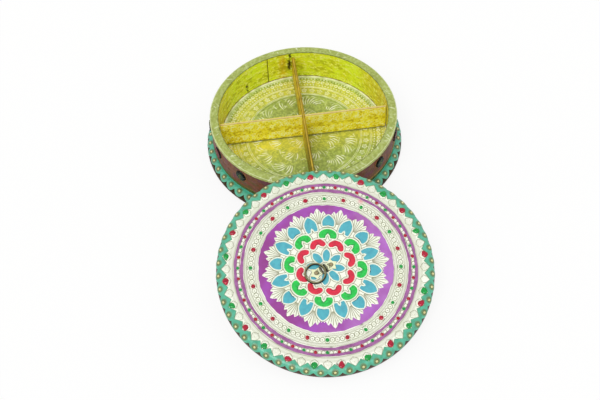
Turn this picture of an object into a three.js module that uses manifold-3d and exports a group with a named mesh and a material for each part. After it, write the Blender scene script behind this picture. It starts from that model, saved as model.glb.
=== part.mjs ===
// A round painted box of turned wood, clad in embossed sheet metal, with four compartments and a lid
// that leans on its rim. Millimetres, +Z up, origin at the centre of the box's underside.
import * as THREE from "three";
import { mergeVertices } from "three/addons/utils/BufferGeometryUtils.js";
import Module from "manifold-3d";

const wasm = await Module();
wasm.setup();

// Sheet metal, glue and paint.
const foil = 0.5; // embossed sheet
const enamel = 0.5; // raised paint
const seat = 0.3; // glue line between a covering and what it covers
const turnUnder = 5; // width of foil folded under an edge
const through = 1; // how far a cutting tool runs past a face

// Driving sizes of the box.
const rimRadius = 93.5; // outside of the rim strip
const footStep = 6.5; // how far the foot stands out past the rim
const footHeight = 13; // base board with its coverings
const wallThickness = 6.2; // bent wooden hoop
const boxHeight = 46.3; // top of the rim strip
const rimLip = 2.5; // how far the rim strip folds down over the wall
const floorSheet = 1; // embossed floor disc
const floorRidge = 0.4; // height of the rings embossed in it
const floorRidgeWidth = 2;
const floorRidgeInsets = [0, 15.2, 25.4]; // from the floor's edge to each ring

// Driving sizes of the dividers.
const dividerBoard = 1.6;
const dividerFoil = 0.4;
const dividerEndGap = 1.4; // between a divider's end and the wall lining
const dividerLidGap = 1.6; // between the dividers and the closed lid
const lapClearance = 0.4; // play of the half lap where the dividers cross

// Stones set in the wall, spaced from a middle one at the front.
const wallStones = 15;
const wallStonePitch = 23.4; // degrees
const wallStoneMiddle = 268.6; // degrees
const wallStoneRadius = 6.2;
const wallStoneRise = 1.6;
const wallStoneDrop = 12.3; // from the box's top to the stones' centres
const wallStoneSides = 10;

// Driving sizes of the lid.
const lidStep = 6.5; // how far the lid stands out past the rim
const lidThickness = 12.4; // board with its sheet
const plugDepth = 3; // how far the plug disc drops into the box
const plugClearance = 0.9; // between the plug disc and the wall lining

// Cut stones round the lid's border.
const stones = 24;
const stoneRadius = 2.4;
const stoneRise = 1.3;
const stoneInset = 9; // from the lid's edge to the stones' circle
const stoneStart = 0.7; // degrees
const strayStone = 23; // set one scallop early by its maker
const stoneSides = 8;
const stoneCut = { girdle: 0.3, table: 0.6, crown: 0.85 }; // shares of a stone's rise, radius and rise

// Painted scallops of the lid's edge and of the foot.
const scallopsPerStone = 2; // round the lid
const scallopTipInset = 9; // from the lid's edge
const scallopRootInset = 5;
const paintTip = -25; // lower edge of the paint, in degrees on the rounding from its middle
const paintRoot = 12;
const paintBends = [60, 30]; // degrees on the rounding where the paint's facets meet
const footScallops = 49;
const footScallopStart = 5; // degrees

// The medallion and the purple ground round it.
const fans = 16; // feather fans round the medallion
const fanStart = 0.4; // degrees
const fanRadius = 58;
const fanDepth = 6; // from the tips to the valleys between fans
const groundMargin = 3.5; // width of the ground outside the tips
const fanSide = [[0.08, 0.95], [0.2, 0.4], [0.27, 0.55], [0.36, 0.45]]; // shares of its pitch and rise

// Driving sizes of the ring pull.
const pullWire = 0.8; // radius of the ring's wire
const pullRing = 9.2; // radius of the ring's centreline
const pullPlay = 0.25; // clearance of the ring in the arch
const pullTurn = 204; // degrees, the way the ring lies on the lid
const pullPlace = [-1.9, -1.2]; // set a little off centre by hand
const strapWidth = 8;
const strapSheet = 0.7;
const strapNeck = 0.5; // between the arch and a star end
const strapTaper = 0.6; // share of the width left where the neck meets the nail
const starRadius = 5.2;
const starPoints = 5;
const starNotch = 0.62; // share of the radius left between two points
const nailRadius = 0.7;
const nailLength = 8;
const nailTip = 1; // length of the pointed end
const nailHead = 1.8; // radius of the head
const nailRise = 0.8; // height of the head
const nailCrown = { radius: 0.7, height: 0.8 }; // shares of the head where its dome bends
const nailHoleClearance = 0.2;

// How the lid leans: its underside on the rim's outer edge, its near edge on the table.
const leanOverhang = 9.7; // from the rim to the lid's upper edge, along its underside
const leanGap = 0.3;
const lidSideways = -4;

// Fineness of the facets.
const facets = 40; // sides of every large round
const edgeSteps = 6; // across a half-round edge
const archSteps = 8;
const ringSteps = 28;
const wireSides = 8;
const nailSides = 10;
const leanHalvings = 40;

// Worked-out places of the box.
const covering = foil + seat;
const wallSheetOuter = rimRadius - covering;
const hoopOuter = wallSheetOuter - covering;
const hoopInner = hoopOuter - wallThickness;
const liningOuter = hoopInner - seat;
const liningInner = liningOuter - foil;
const footSheetOuter = rimRadius + footStep - enamel - seat;
const footSheetTop = footHeight - enamel - seat;
const footFold = footSheetOuter - footSheetTop / 2 - turnUnder;
const boardTop = footSheetTop - covering;
const floorTop = boardTop + floorSheet;
const dividerBottom = floorTop + seat;
const dividerTop = boxHeight - plugDepth - dividerLidGap;
const dividerWidth = dividerBoard + 2 * (dividerFoil + seat);
const dividerLength = 2 * (liningInner - dividerEndGap);
const lapLevel = (dividerBottom + dividerTop) / 2;

// Worked-out places of the lid and the ring pull.
const lidRadius = rimRadius + lidStep;
const lidSheetOuter = lidRadius - enamel - seat;
const lidFold = lidSheetOuter - lidThickness / 2 - turnUnder;
const plugRadius = liningInner - plugClearance;
const reliefTop = lidThickness + enamel;
const groundRadius = fanRadius + groundMargin;
const fanValley = fanRadius - fanDepth;
const scallops = stones * scallopsPerStone;
const pullBottom = reliefTop + seat;
const ringBow = pullRing - Math.sqrt(pullRing ** 2 - (strapWidth / 2) ** 2);
const archInside = ringBow / 2 + pullWire + pullPlay;
const archOutside = archInside + strapSheet;
const nailSpread = archOutside + strapNeck + starRadius;
const nailHole = nailRadius + nailHoleClearance;

/** A plain material. */
function finish(color, roughness, metalness) {
  return new THREE.MeshStandardMaterial({ color, roughness, metalness });
}

// Colours and finishes.
const wood = finish(0x9a7448, 0.7, 0);
const goldFoil = finish(0xccb92a, 0.35, 0.9);
const oliveFoil = finish(0xa9b560, 0.4, 0.8);
const silverFoil = finish(0xe6ebd4, 0.4, 0.6);
const darkFoil = finish(0x4a2a26, 0.5, 0.3);
const tealPaint = finish(0x5cc0ab, 0.3, 0);
const plumPaint = finish(0x744a48, 0.4, 0);
const purplePaint = finish(0xb052bd, 0.35, 0);
const redGlass = finish(0xc01c3c, 0.1, 0);
const greenGlass = finish(0x0f8a35, 0.1, 0);
const darkGreenGlass = finish(0x123818, 0.15, 0);
const darkRedGlass = finish(0x4a1218, 0.15, 0);
const brass = finish(0xc4b878, 0.3, 1);

/** Degrees to radians. */
function radians(degrees) {
  return THREE.MathUtils.degToRad(degrees);
}

/** A point on a circle about the origin, its angle in degrees. */
function polar(radius, degrees) {
  return [radius * Math.cos(radians(degrees)), radius * Math.sin(radians(degrees))];
}

/** A list made by calling a function for 0 up to count. */
function repeat(count, make) {
  return Array.from({ length: count }, (_, i) => make(i));
}

/** Points of an arc in a profile, angles in degrees. */
function arc(radius, height, size, from, to, steps) {
  return repeat(steps + 1, (i) => {
    const [x, y] = polar(size, from + ((to - from) * i) / steps);
    return [radius + x, height + y];
  });
}

/** Makes a manifold-3d solid of a closed geometry. */
function solid(geometry) {
  const bare = new THREE.BufferGeometry();
  bare.setAttribute("position", geometry.getAttribute("position"));
  if (geometry.index) bare.setIndex(geometry.index);
  const merged = mergeVertices(bare, 1e-4);
  return new wasm.Manifold(
    new wasm.Mesh({
      numProp: 3,
      vertProperties: merged.attributes.position.array,
      triVerts: new Uint32Array(merged.index.array),
    }),
  );
}

/** Turns a manifold-3d solid back into a geometry. */
function geometryOf(body) {
  const mesh = body.getMesh();
  const geometry = new THREE.BufferGeometry();
  geometry.setAttribute("position", new THREE.BufferAttribute(new Float32Array(mesh.vertProperties), 3));
  geometry.setIndex(new THREE.BufferAttribute(new Uint32Array(mesh.triVerts), 1));
  return geometry;
}

/** Cuts the tools out of a geometry. */
function cut(geometry, ...tools) {
  return geometryOf(tools.reduce((body, tool) => body.subtract(solid(tool)), solid(geometry)));
}

/** Joins geometries into one. */
function join(...geometries) {
  return geometryOf(geometries.map(solid).reduce((body, more) => body.add(more)));
}

/** Adds a named mesh to its group. */
function piece(group, name, geometry, material) {
  const mesh = new THREE.Mesh(geometry, material);
  mesh.name = name;
  group.add(mesh);
  return mesh;
}

/** A name with a two-figure number, counted from one. */
function numbered(name, i) {
  return `${name}_${String(i + 1).padStart(2, "0")}`;
}

/** A closed anticlockwise profile of [radius, height] points, turned about Z. */
function turned(profile, sides = facets) {
  const points = profile[0][0] === 0 ? profile : [...profile, profile[0]];
  const outline = points.map(([r, z]) => new THREE.Vector2(r, z));
  return new THREE.LatheGeometry(outline, sides).rotateX(Math.PI / 2);
}

/** A round tube with square edges. */
function tube(inner, outer, bottom, top) {
  return turned([[inner, bottom], [outer, bottom], [outer, top], [inner, top]]);
}

/** A round bar on the Z axis. */
function bar(radius, bottom, top, sides) {
  return turned([[0, bottom], [radius, bottom], [radius, top], [0, top]], sides);
}

/** A flat outline, with holes in it, raised from bottom to top. */
function raised(points, bottom, top, ...holes) {
  const vectors = (outline) => outline.map(([x, y]) => new THREE.Vector2(x, y));
  const shape = new THREE.Shape(vectors(points));
  shape.holes = holes.map((hole) => new THREE.Path(vectors(hole)));
  const options = { depth: top - bottom, bevelEnabled: false };
  return new THREE.ExtrudeGeometry(shape, options).translate(0, 0, bottom);
}

/** A slat along X: length and width, between two levels. */
function slat(length, width, bottom, top) {
  return new THREE.BoxGeometry(length, width, top - bottom).translate(0, 0, (bottom + top) / 2);
}

/** A cut stone: a dome of two slopes on a short girdle, its base at the origin. */
function stone(radius, rise, sides) {
  const { girdle, table, crown } = stoneCut;
  const facet = [radius * table, rise * crown];
  return turned([[0, 0], [radius, 0], [radius, rise * girdle], facet, [0, rise]], sides);
}

/** The foil over a half-round edge, from its top's inner radius to the fold under it. */
function edgeSkin(outer, thickness, topInner, foldInner) {
  const round = thickness / 2;
  const core = outer - round;
  const outside = arc(core, round, round, -90, 90, edgeSteps);
  const inside = arc(core, round, round - foil, 90, -90, edgeSteps);
  const fold = [[foldInner, foil], [foldInner, 0]];
  const upper = [topInner, thickness];
  const lower = [topInner, thickness - foil];
  if (topInner === 0) return turned([lower, ...inside, ...fold, ...outside, upper]);
  return turned([...fold, ...outside, upper, lower, ...inside]);
}

/** The turned board inside an edge skin, stepped for the fold. */
function board(outer, thickness, foldInner) {
  const round = thickness / 2;
  const core = outer - round;
  const step = foldInner - seat;
  return turned([
    [0, 0],
    [step, 0],
    [step, covering],
    ...arc(core, round, round - covering, -90, 90, edgeSteps),
    [0, thickness - covering],
  ]);
}

/** Section of raised paint on a half-round edge, from an inner radius down to an angle on its rounding. */
function paintSection(outer, thickness, inner, low) {
  const round = thickness / 2;
  const core = outer - round;
  const [upperBend, lowerBend] = paintBends;
  const onRounding = (size, degrees) => {
    const [x, z] = polar(size, degrees);
    return [core + x, round + z];
  };
  const onFlat = inner < core;
  const first = onFlat ? 90 : THREE.MathUtils.radToDeg(Math.acos((inner - core) / (round + seat)));
  const near = onFlat ? 90 : (first + upperBend) / 2;
  const last = low < 0 ? 0 : (lowerBend + low) / 2;
  const surface = (size) => [
    onFlat ? [inner, round + size] : onRounding(size, first),
    ...[near, upperBend, lowerBend, last, low].map((degrees) => onRounding(size, degrees)),
  ];
  return [...surface(round + seat), ...surface(round + seat + enamel).reverse()];
}

/** Joins sections at equal angles about Z into one closed ring. */
function loft(count, start, section) {
  const sections = repeat(count, section);
  const sides = sections[0].length;
  const positions = sections.flatMap((points, i) =>
    points.flatMap(([r, z]) => [...polar(r, start + (i * 360) / count), z]),
  );
  const index = [];
  for (let i = 0; i < count; i += 1) {
    const next = (i + 1) % count;
    for (let j = 0; j < sides; j += 1) {
      const up = (j + 1) % sides;
      const [a, b, c, d] = [i * sides + j, next * sides + j, next * sides + up, i * sides + up];
      const turnDiagonal = (i % 2 === 0) === j < sides / 2;
      index.push(...(turnDiagonal ? [a, b, c, a, c, d] : [a, b, d, b, c, d]));
    }
  }
  const geometry = new THREE.BufferGeometry();
  geometry.setAttribute("position", new THREE.BufferAttribute(new Float32Array(positions), 3));
  geometry.setIndex(index);
  return geometry;
}

/** A painted band on a half-round edge, with a zigzag border wherever its tips and roots differ. */
function paintBand({ count, start, outer, thickness, tip, root }) {
  const atTip = paintSection(outer, thickness, tip, paintTip);
  const atRoot = paintSection(outer, thickness, root, paintRoot);
  const borderPoints = 2 * Math.round(count); // a tip and a root each
  return loft(borderPoints, start, (i) => (i % 2 ? atRoot : atTip));
}

/** The rim strip: a flat ring folded down over the outside of the wall. */
function rimStrip() {
  return turned([
    [liningInner, boxHeight - foil],
    [rimRadius - foil, boxHeight - foil],
    [rimRadius - foil, boxHeight - rimLip],
    [rimRadius, boxHeight - rimLip],
    [rimRadius, boxHeight],
    [liningInner, boxHeight],
  ]);
}

/** The floor disc, with the embossed rings that frame its rosette. */
function floorDisc() {
  const edge = liningInner - seat;
  const ridges = floorRidgeInsets.map((inset) => edge - inset);
  const low = floorTop - floorRidge;
  const profile = [[0, boardTop], [edge, boardTop]];
  ridges.forEach((outer, i) => {
    const inner = outer - floorRidgeWidth;
    profile.push([outer, floorTop], [inner, floorTop], [inner, low], [ridges[i + 1] ?? 0, low]);
  });
  return turned(profile);
}

// The box: a turned base board, a bent wall and the coverings of both.
const box = new THREE.Group();
piece(box, "base_board", board(footSheetOuter, footSheetTop, footFold), wood);
piece(box, "foot_sheet", edgeSkin(footSheetOuter, footSheetTop, wallSheetOuter + seat, footFold), darkFoil);
const footPaint = paintBand({
  count: footScallops,
  start: footScallopStart,
  outer: footSheetOuter,
  thickness: footSheetTop,
  tip: wallSheetOuter + seat,
  root: wallSheetOuter + seat,
});
piece(box, "foot_enamel", footPaint, tealPaint);
piece(box, "wall_hoop", tube(hoopInner, hoopOuter, boardTop, boxHeight - covering), wood);
piece(box, "wall_sheet", tube(hoopOuter + seat, wallSheetOuter, footHeight, boxHeight - rimLip), plumPaint);
piece(box, "rim_sheet", rimStrip(), oliveFoil);
piece(box, "wall_lining", tube(liningInner, liningOuter, floorTop + seat, boxHeight - covering), goldFoil);
piece(box, "floor_lining", floorDisc(), goldFoil);

// Round stones set in the wall, dark green and dark red in turn.
for (let i = 0; i < wallStones; i += 1) {
  const turns = i - (wallStones - 1) / 2;
  const degrees = wallStoneMiddle + turns * wallStonePitch;
  const glass = turns % 2 ? darkRedGlass : darkGreenGlass;
  const shape = stone(wallStoneRadius, wallStoneRise, wallStoneSides);
  const gem = piece(box, numbered("wall_stone", i), shape, glass);
  gem.rotation.set(Math.PI / 2, 0, radians(degrees + 90), "ZYX");
  gem.position.set(...polar(wallSheetOuter + seat, degrees), boxHeight - wallStoneDrop);
}

/** A divider's board and its folded foil, both notched between two levels. */
function dividerPieces(notchBottom, notchTop) {
  const notch = slat(dividerWidth + lapClearance, dividerWidth * 2, notchBottom, notchTop);
  const core = slat(dividerLength, dividerBoard, dividerBottom + dividerFoil + seat, dividerTop);
  const inside = slat(
    dividerLength * 2,
    dividerBoard + 2 * seat,
    dividerBottom + dividerFoil,
    dividerTop + through,
  );
  const skin = cut(slat(dividerLength, dividerWidth, dividerBottom, dividerTop - seat), inside);
  return [cut(core, notch), cut(skin, notch)];
}

// The dividers: two boards, each in a folded foil, crossed with a half lap.
const [longBoard, longFoil] = dividerPieces(lapLevel - lapClearance / 2, dividerTop + through);
const [crossBoard, crossFoil] = dividerPieces(dividerBottom - through, lapLevel + lapClearance / 2);
piece(box, "long_divider", longBoard, wood);
piece(box, "long_divider_foil", longFoil, goldFoil);
piece(box, "cross_divider", crossBoard.rotateZ(Math.PI / 2), wood);
piece(box, "cross_divider_foil", crossFoil.rotateZ(Math.PI / 2), goldFoil);

// The lid, in a frame of its own with its underside at z = 0.
const lid = new THREE.Group();
const nailHoles = [-1, 1].map((side) => {
  const [x, y] = polar(side * nailSpread, pullTurn);
  const hole = bar(nailHole, pullBottom - nailLength - seat, pullBottom + through, nailSides);
  return hole.translate(pullPlace[0] + x, pullPlace[1] + y, 0);
});

/** Outline of the medallion: feather fans, each with a long middle tip and two short ones. */
function fanOutline(gap) {
  const span = 360 / fans;
  const otherSide = fanSide.map(([share, height]) => [-share, height]).reverse();
  const feather = [[-0.5, 0], ...otherSide, [0, 1], ...fanSide];
  const place = (share, height, i) =>
    polar(fanValley + fanDepth * height + gap, fanStart + (i + share) * span);
  return repeat(fans, (i) => feather.map(([share, height]) => place(share, height, i))).flat();
}

/** The lid's sheet: a skin over its top and edge, with the medallion raised on it. */
function lidSheet() {
  const skin = edgeSkin(lidSheetOuter, lidThickness, 0, lidFold);
  const medallion = raised(fanOutline(0), lidThickness - foil / 2, reliefTop);
  return cut(join(skin, medallion), ...nailHoles);
}
piece(lid, "lid_board", cut(board(lidSheetOuter, lidThickness, lidFold), ...nailHoles), wood);
piece(lid, "lid_sheet", lidSheet(), silverFoil);
piece(lid, "lid_plug_disc", bar(plugRadius, -plugDepth, -seat, facets), wood);
const lidPaint = paintBand({
  count: scallops,
  start: stoneStart + 180 / scallops,
  outer: lidSheetOuter,
  thickness: lidThickness,
  tip: lidRadius - scallopTipInset,
  root: lidRadius - scallopRootInset,
});
piece(lid, "lid_edge_enamel", lidPaint, tealPaint);
const groundCircle = repeat(facets, (i) => polar(groundRadius, (i * 360) / facets));
const groundPaint = raised(groundCircle, lidThickness + seat, reliefTop, fanOutline(seat));
piece(lid, "lid_ground_enamel", groundPaint, purplePaint);

// Cut stones round the lid's border, red and green in turn.
for (let i = 0; i < stones; i += 1) {
  const early = i === strayStone ? 360 / scallops : 0;
  const degrees = stoneStart + (i * 360) / stones - early;
  const glass = i % 2 ? greenGlass : redGlass;
  const gem = piece(lid, numbered("lid_stone", i), stone(stoneRadius, stoneRise, stoneSides), glass);
  gem.position.set(...polar(lidRadius - stoneInset, degrees), lidThickness + seat);
}

// The ring pull: an arched strap with star ends nailed to the lid, and the ring in its arch.
const pull = new THREE.Group();
pull.rotation.z = radians(pullTurn);
pull.position.set(...pullPlace, pullBottom);
lid.add(pull);

/** Outline of a star end, one of its points away from the arch. */
function star(side) {
  return repeat(starPoints * 2, (i) => {
    const [x, y] = polar(i % 2 ? starRadius * starNotch : starRadius, (i * 180) / starPoints);
    return [side * (x + nailSpread), side * y];
  });
}

/** The strap, arched over the ring's wire, with its stars and nail holes. */
function strap() {
  const half = strapWidth / 2;
  const profile = [
    ...arc(0, archInside, archInside, 180, 0, archSteps),
    [archInside, 0],
    [archOutside, 0],
    ...arc(0, archInside, archOutside, 0, 180, archSteps),
    [-archOutside, 0],
    [-archInside, 0],
  ];
  const arch = raised(profile, -half, half).rotateX(Math.PI / 2);
  const ends = [-1, 1].flatMap((side) => {
    const near = side * (archInside + strapSheet / 2);
    const far = side * nailSpread;
    const wide = side * half;
    const narrow = wide * strapTaper;
    const neck = [[near, -wide], [far, -narrow], [far, narrow], [near, wide]];
    return [raised(neck, 0, strapSheet), raised(star(side), 0, strapSheet)];
  });
  const holes = [-1, 1].map((side) =>
    bar(nailHole, -through, strapSheet + through, nailSides).translate(side * nailSpread, 0, 0),
  );
  return cut(join(arch, ...ends), ...holes);
}
piece(pull, "pull_plate", strap(), brass);

// Round-headed nails.
const headBottom = strapSheet + seat;
const nailProfile = [
  [0, -nailLength],
  [nailRadius, nailTip - nailLength],
  [nailRadius, headBottom],
  [nailHead, headBottom],
  [nailHead * nailCrown.radius, headBottom + nailRise * nailCrown.height],
  [0, headBottom + nailRise],
];
[-1, 1].forEach((side, i) => {
  const nail = turned(nailProfile, nailSides).translate(side * nailSpread, 0, 0);
  piece(pull, numbered("pull_nail", i), nail, brass);
});

// The ring, tipped down until its far side lies on the lid.
const ringOffset = pullRing - ringBow / 2;
const ringDroop = Math.asin((archInside - pullWire) / (ringOffset + pullRing));
const ringTorus = new THREE.TorusGeometry(pullRing, pullWire, wireSides, ringSteps);
const ring = piece(pull, "pull_ring", ringTorus.translate(ringOffset, 0, 0), brass);
ring.position.z = archInside;
ring.rotation.y = ringDroop;

/** Height of the lid's underside centre when its near edge just clears the table. */
function leanZ(tilt) {
  const round = lidThickness / 2;
  const edge = (lidSheetOuter - round) * Math.sin(tilt) - round * Math.cos(tilt) + round;
  const plug = plugRadius * Math.sin(tilt) + plugDepth * Math.cos(tilt);
  return Math.max(edge, plug);
}

/** The tilt at which the lid's underside just clears the rim, found by halving. */
function solveLean(reach) {
  let low = 0;
  let high = radians(45);
  for (let i = 0; i < leanHalvings; i += 1) {
    const tilt = (low + high) / 2;
    if (leanZ(tilt) + reach * Math.sin(tilt) < boxHeight + leanGap) low = tilt;
    else high = tilt;
  }
  return high;
}
const leanReach = lidSheetOuter - leanOverhang;
const lean = solveLean(leanReach);
lid.rotation.x = lean;
lid.position.set(lidSideways, -rimRadius - leanReach * Math.cos(lean), leanZ(lean));

const paintedBox = new THREE.Group();
paintedBox.name = "painted_round_box";
paintedBox.add(box, lid);
export default paintedBox;
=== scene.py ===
"""A round painted box of wood and embossed sheet metal, with its lid leaning on its rim."""

import sys
import logging
import math
from abc import ABC, abstractmethod
from collections.abc import Callable, Iterator, Sequence
from contextlib import contextmanager
from dataclasses import dataclass, field
from enum import Enum

import bpy
import numpy as np
from mathutils import Matrix, Vector


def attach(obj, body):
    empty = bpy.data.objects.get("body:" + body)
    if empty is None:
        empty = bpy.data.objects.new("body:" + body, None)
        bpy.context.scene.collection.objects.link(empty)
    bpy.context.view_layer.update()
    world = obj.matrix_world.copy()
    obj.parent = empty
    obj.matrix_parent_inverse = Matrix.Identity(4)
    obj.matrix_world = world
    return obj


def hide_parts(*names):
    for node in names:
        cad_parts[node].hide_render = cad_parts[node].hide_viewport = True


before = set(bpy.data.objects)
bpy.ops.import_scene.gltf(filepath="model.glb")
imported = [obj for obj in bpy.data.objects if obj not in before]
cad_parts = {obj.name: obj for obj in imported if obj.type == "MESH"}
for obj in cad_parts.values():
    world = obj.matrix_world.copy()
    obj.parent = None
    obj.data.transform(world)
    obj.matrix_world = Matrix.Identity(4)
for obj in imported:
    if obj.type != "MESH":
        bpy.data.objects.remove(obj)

LOG = logging.getLogger("painted_round_box")
MM = 0.001
MERGE = MM * 0.002  # points nearer than this are one
SEED = 11

Array = np.ndarray
Piece = bpy.types.Object
Node = bpy.types.Node
Tree = bpy.types.NodeTree
Socket = bpy.types.NodeSocket
Row = tuple[float, float, float, float]
Pressed = tuple[Array, dict[str, Array]]  # heights in mm, and attributes by name
Relief = Callable[[Array, Array], Pressed]
Span = Callable[[Array], tuple[Array, Array]]


class Body(Enum):
    """The bodies that pieces ride on."""

    BOX = "box"
    LONG_DIVIDER = "long_divider"
    CROSS_DIVIDER = "cross_divider"
    LID = "lid"
    RING = "pull_ring"


# Finishes.

MIX_A, MIX_B, MIX_RESULT = 6, 7, 2  # colour sockets of a Mix node
CLOUD_FROM, CLOUD_TO = 0.35, 0.72  # noise between which clouds fade in
GRAIN_FROM, GRAIN_TO = 0.3, 0.7  # noise between which the roughness grows
ROUGHER = 0.12  # how much rougher the rough places are
COAT_ROUGHNESS = 0.15


def linear(colour: str) -> tuple[float, float, float, float]:
    """Turns an sRGB hex colour into linear values.

    Args:
        colour: The colour, such as "#a0b0c0".

    Returns:
        Linear red, green, blue and an alpha of one.
    """
    channels = [int(colour[i : i + 2], 16) / 255 for i in (1, 3, 5)]
    red, green, blue = [c / 12.92 if c <= 0.04045 else ((c + 0.055) / 1.055) ** 2.4 for c in channels]
    return red, green, blue, 1.0


def add_node(tree: Tree, kind: str, settings: dict | None = None, links: dict | None = None) -> Node:
    """Adds a node to a tree.

    Args:
        tree: The tree that gets it.
        kind: The node's type, such as "ShaderNodeMath".
        settings: Values by the name or number of an input, or by the name of a property. The stops of a
            colour ramp are pairs of a place and a colour.
        links: Output sockets by the name or number of the input that each feeds.

    Returns:
        The new node.
    """
    node = tree.nodes.new(kind)
    for key, value in (settings or {}).items():
        if key == "stops":
            for spare in list(node.color_ramp.elements)[1:]:
                node.color_ramp.elements.remove(spare)
            for i, (place, colour) in enumerate(value):
                stop = node.color_ramp.elements[0] if i == 0 else node.color_ramp.elements.new(place)
                stop.position, stop.color = place, linear(colour)
        elif isinstance(key, int) or key in node.inputs.keys():
            node.inputs[key].default_value = value
        else:
            setattr(node, key, value)
    for key, socket in (links or {}).items():
        tree.links.new(socket, node.inputs[key])
    return node


@dataclass(frozen=True)
class Finish:
    """The finish of a surface, mottled by soft clouds and painted over where an attribute says.

    Args:
        name: The real material's name.
        slot: A name for the kind of material, which some pieces' names carry.
        colour: Its main colour.
        cloud: The colour of its clouds.
        cloud_size: Their size in mm.
        grain_size: Size of its bumps in mm.
        grain: Height of its bumps in mm.
        roughness: Roughness of its smooth places.
        metallic: How metallic it is.
        coat: Weight of a clear coat.
        specular: How strongly it mirrors, 0.5 for common glossy things.
        layers: Pairs of an attribute and the colour that it brings.
    """

    name: str
    slot: str
    colour: str
    cloud: str
    cloud_size: float = 12.0
    grain_size: float = 1.2
    grain: float = 0.05
    roughness: float = 0.4
    metallic: float = 0.0
    coat: float = 0.0
    specular: float = 0.5
    layers: tuple[tuple[str, str], ...] = ()

    def material(self) -> bpy.types.Material:
        """Makes the material, or finds it if it was made before.

        Returns:
            The material.
        """
        found = bpy.data.materials.get(self.name)
        if found:
            return found
        material = bpy.data.materials.new(self.name)
        material.use_nodes = True
        tree = material.node_tree
        tree.nodes.clear()
        shader = self.shade(tree)
        add_node(tree, "ShaderNodeOutputMaterial", links={"Surface": shader.outputs["BSDF"]})
        return material

    def colours(self, tree: Tree, place: Socket) -> Socket:
        """Colour of the clouds and of the layers over them.

        Args:
            tree: The material's tree.
            place: Object coordinates.

        Returns:
            The socket of the mixed colour.
        """
        cloud_scale = {"Scale": 1 / (self.cloud_size * MM), "Detail": 4.0, "Roughness": 0.6}
        clouds = add_node(tree, "ShaderNodeTexNoise", cloud_scale, {"Vector": place})
        stops = {"stops": [(CLOUD_FROM, self.colour), (CLOUD_TO, self.cloud)]}
        mixed = add_node(tree, "ShaderNodeValToRGB", stops, {"Fac": clouds.outputs["Fac"]}).outputs["Color"]
        for attribute, colour in self.layers:
            paint = add_node(tree, "ShaderNodeAttribute", {"attribute_name": attribute})
            both = {0: paint.outputs["Fac"], MIX_A: mixed}
            over = add_node(tree, "ShaderNodeMix", {"data_type": "RGBA", MIX_B: linear(colour)}, both)
            mixed = over.outputs[MIX_RESULT]
        return mixed

    def shade(self, tree: Tree) -> Node:
        """Makes the shader, with its colour, roughness and bumps.

        Args:
            tree: The material's tree.

        Returns:
            The shader.
        """
        place = add_node(tree, "ShaderNodeTexCoord").outputs["Object"]
        colour = self.colours(tree, place)
        grain_scale = {"Scale": 1 / (self.grain_size * MM), "Detail": 3.0}
        grain = add_node(tree, "ShaderNodeTexNoise", grain_scale, {"Vector": place}).outputs["Fac"]
        bump = add_node(
            tree, "ShaderNodeBump", {"Strength": 1.0, "Distance": self.grain * MM}, {"Height": grain}
        )
        rough_range = {
            "From Min": GRAIN_FROM,
            "From Max": GRAIN_TO,
            "To Min": self.roughness,
            "To Max": self.roughness + ROUGHER,
        }
        rough = add_node(tree, "ShaderNodeMapRange", rough_range, {"Value": grain})
        return add_node(
            tree,
            "ShaderNodeBsdfPrincipled",
            {
                "Metallic": self.metallic,
                "Coat Weight": self.coat,
                "Coat Roughness": COAT_ROUGHNESS,
                "Specular IOR Level": self.specular,
            },
            {"Base Color": colour, "Roughness": rough.outputs["Result"], "Normal": bump.outputs["Normal"]},
        )


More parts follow.
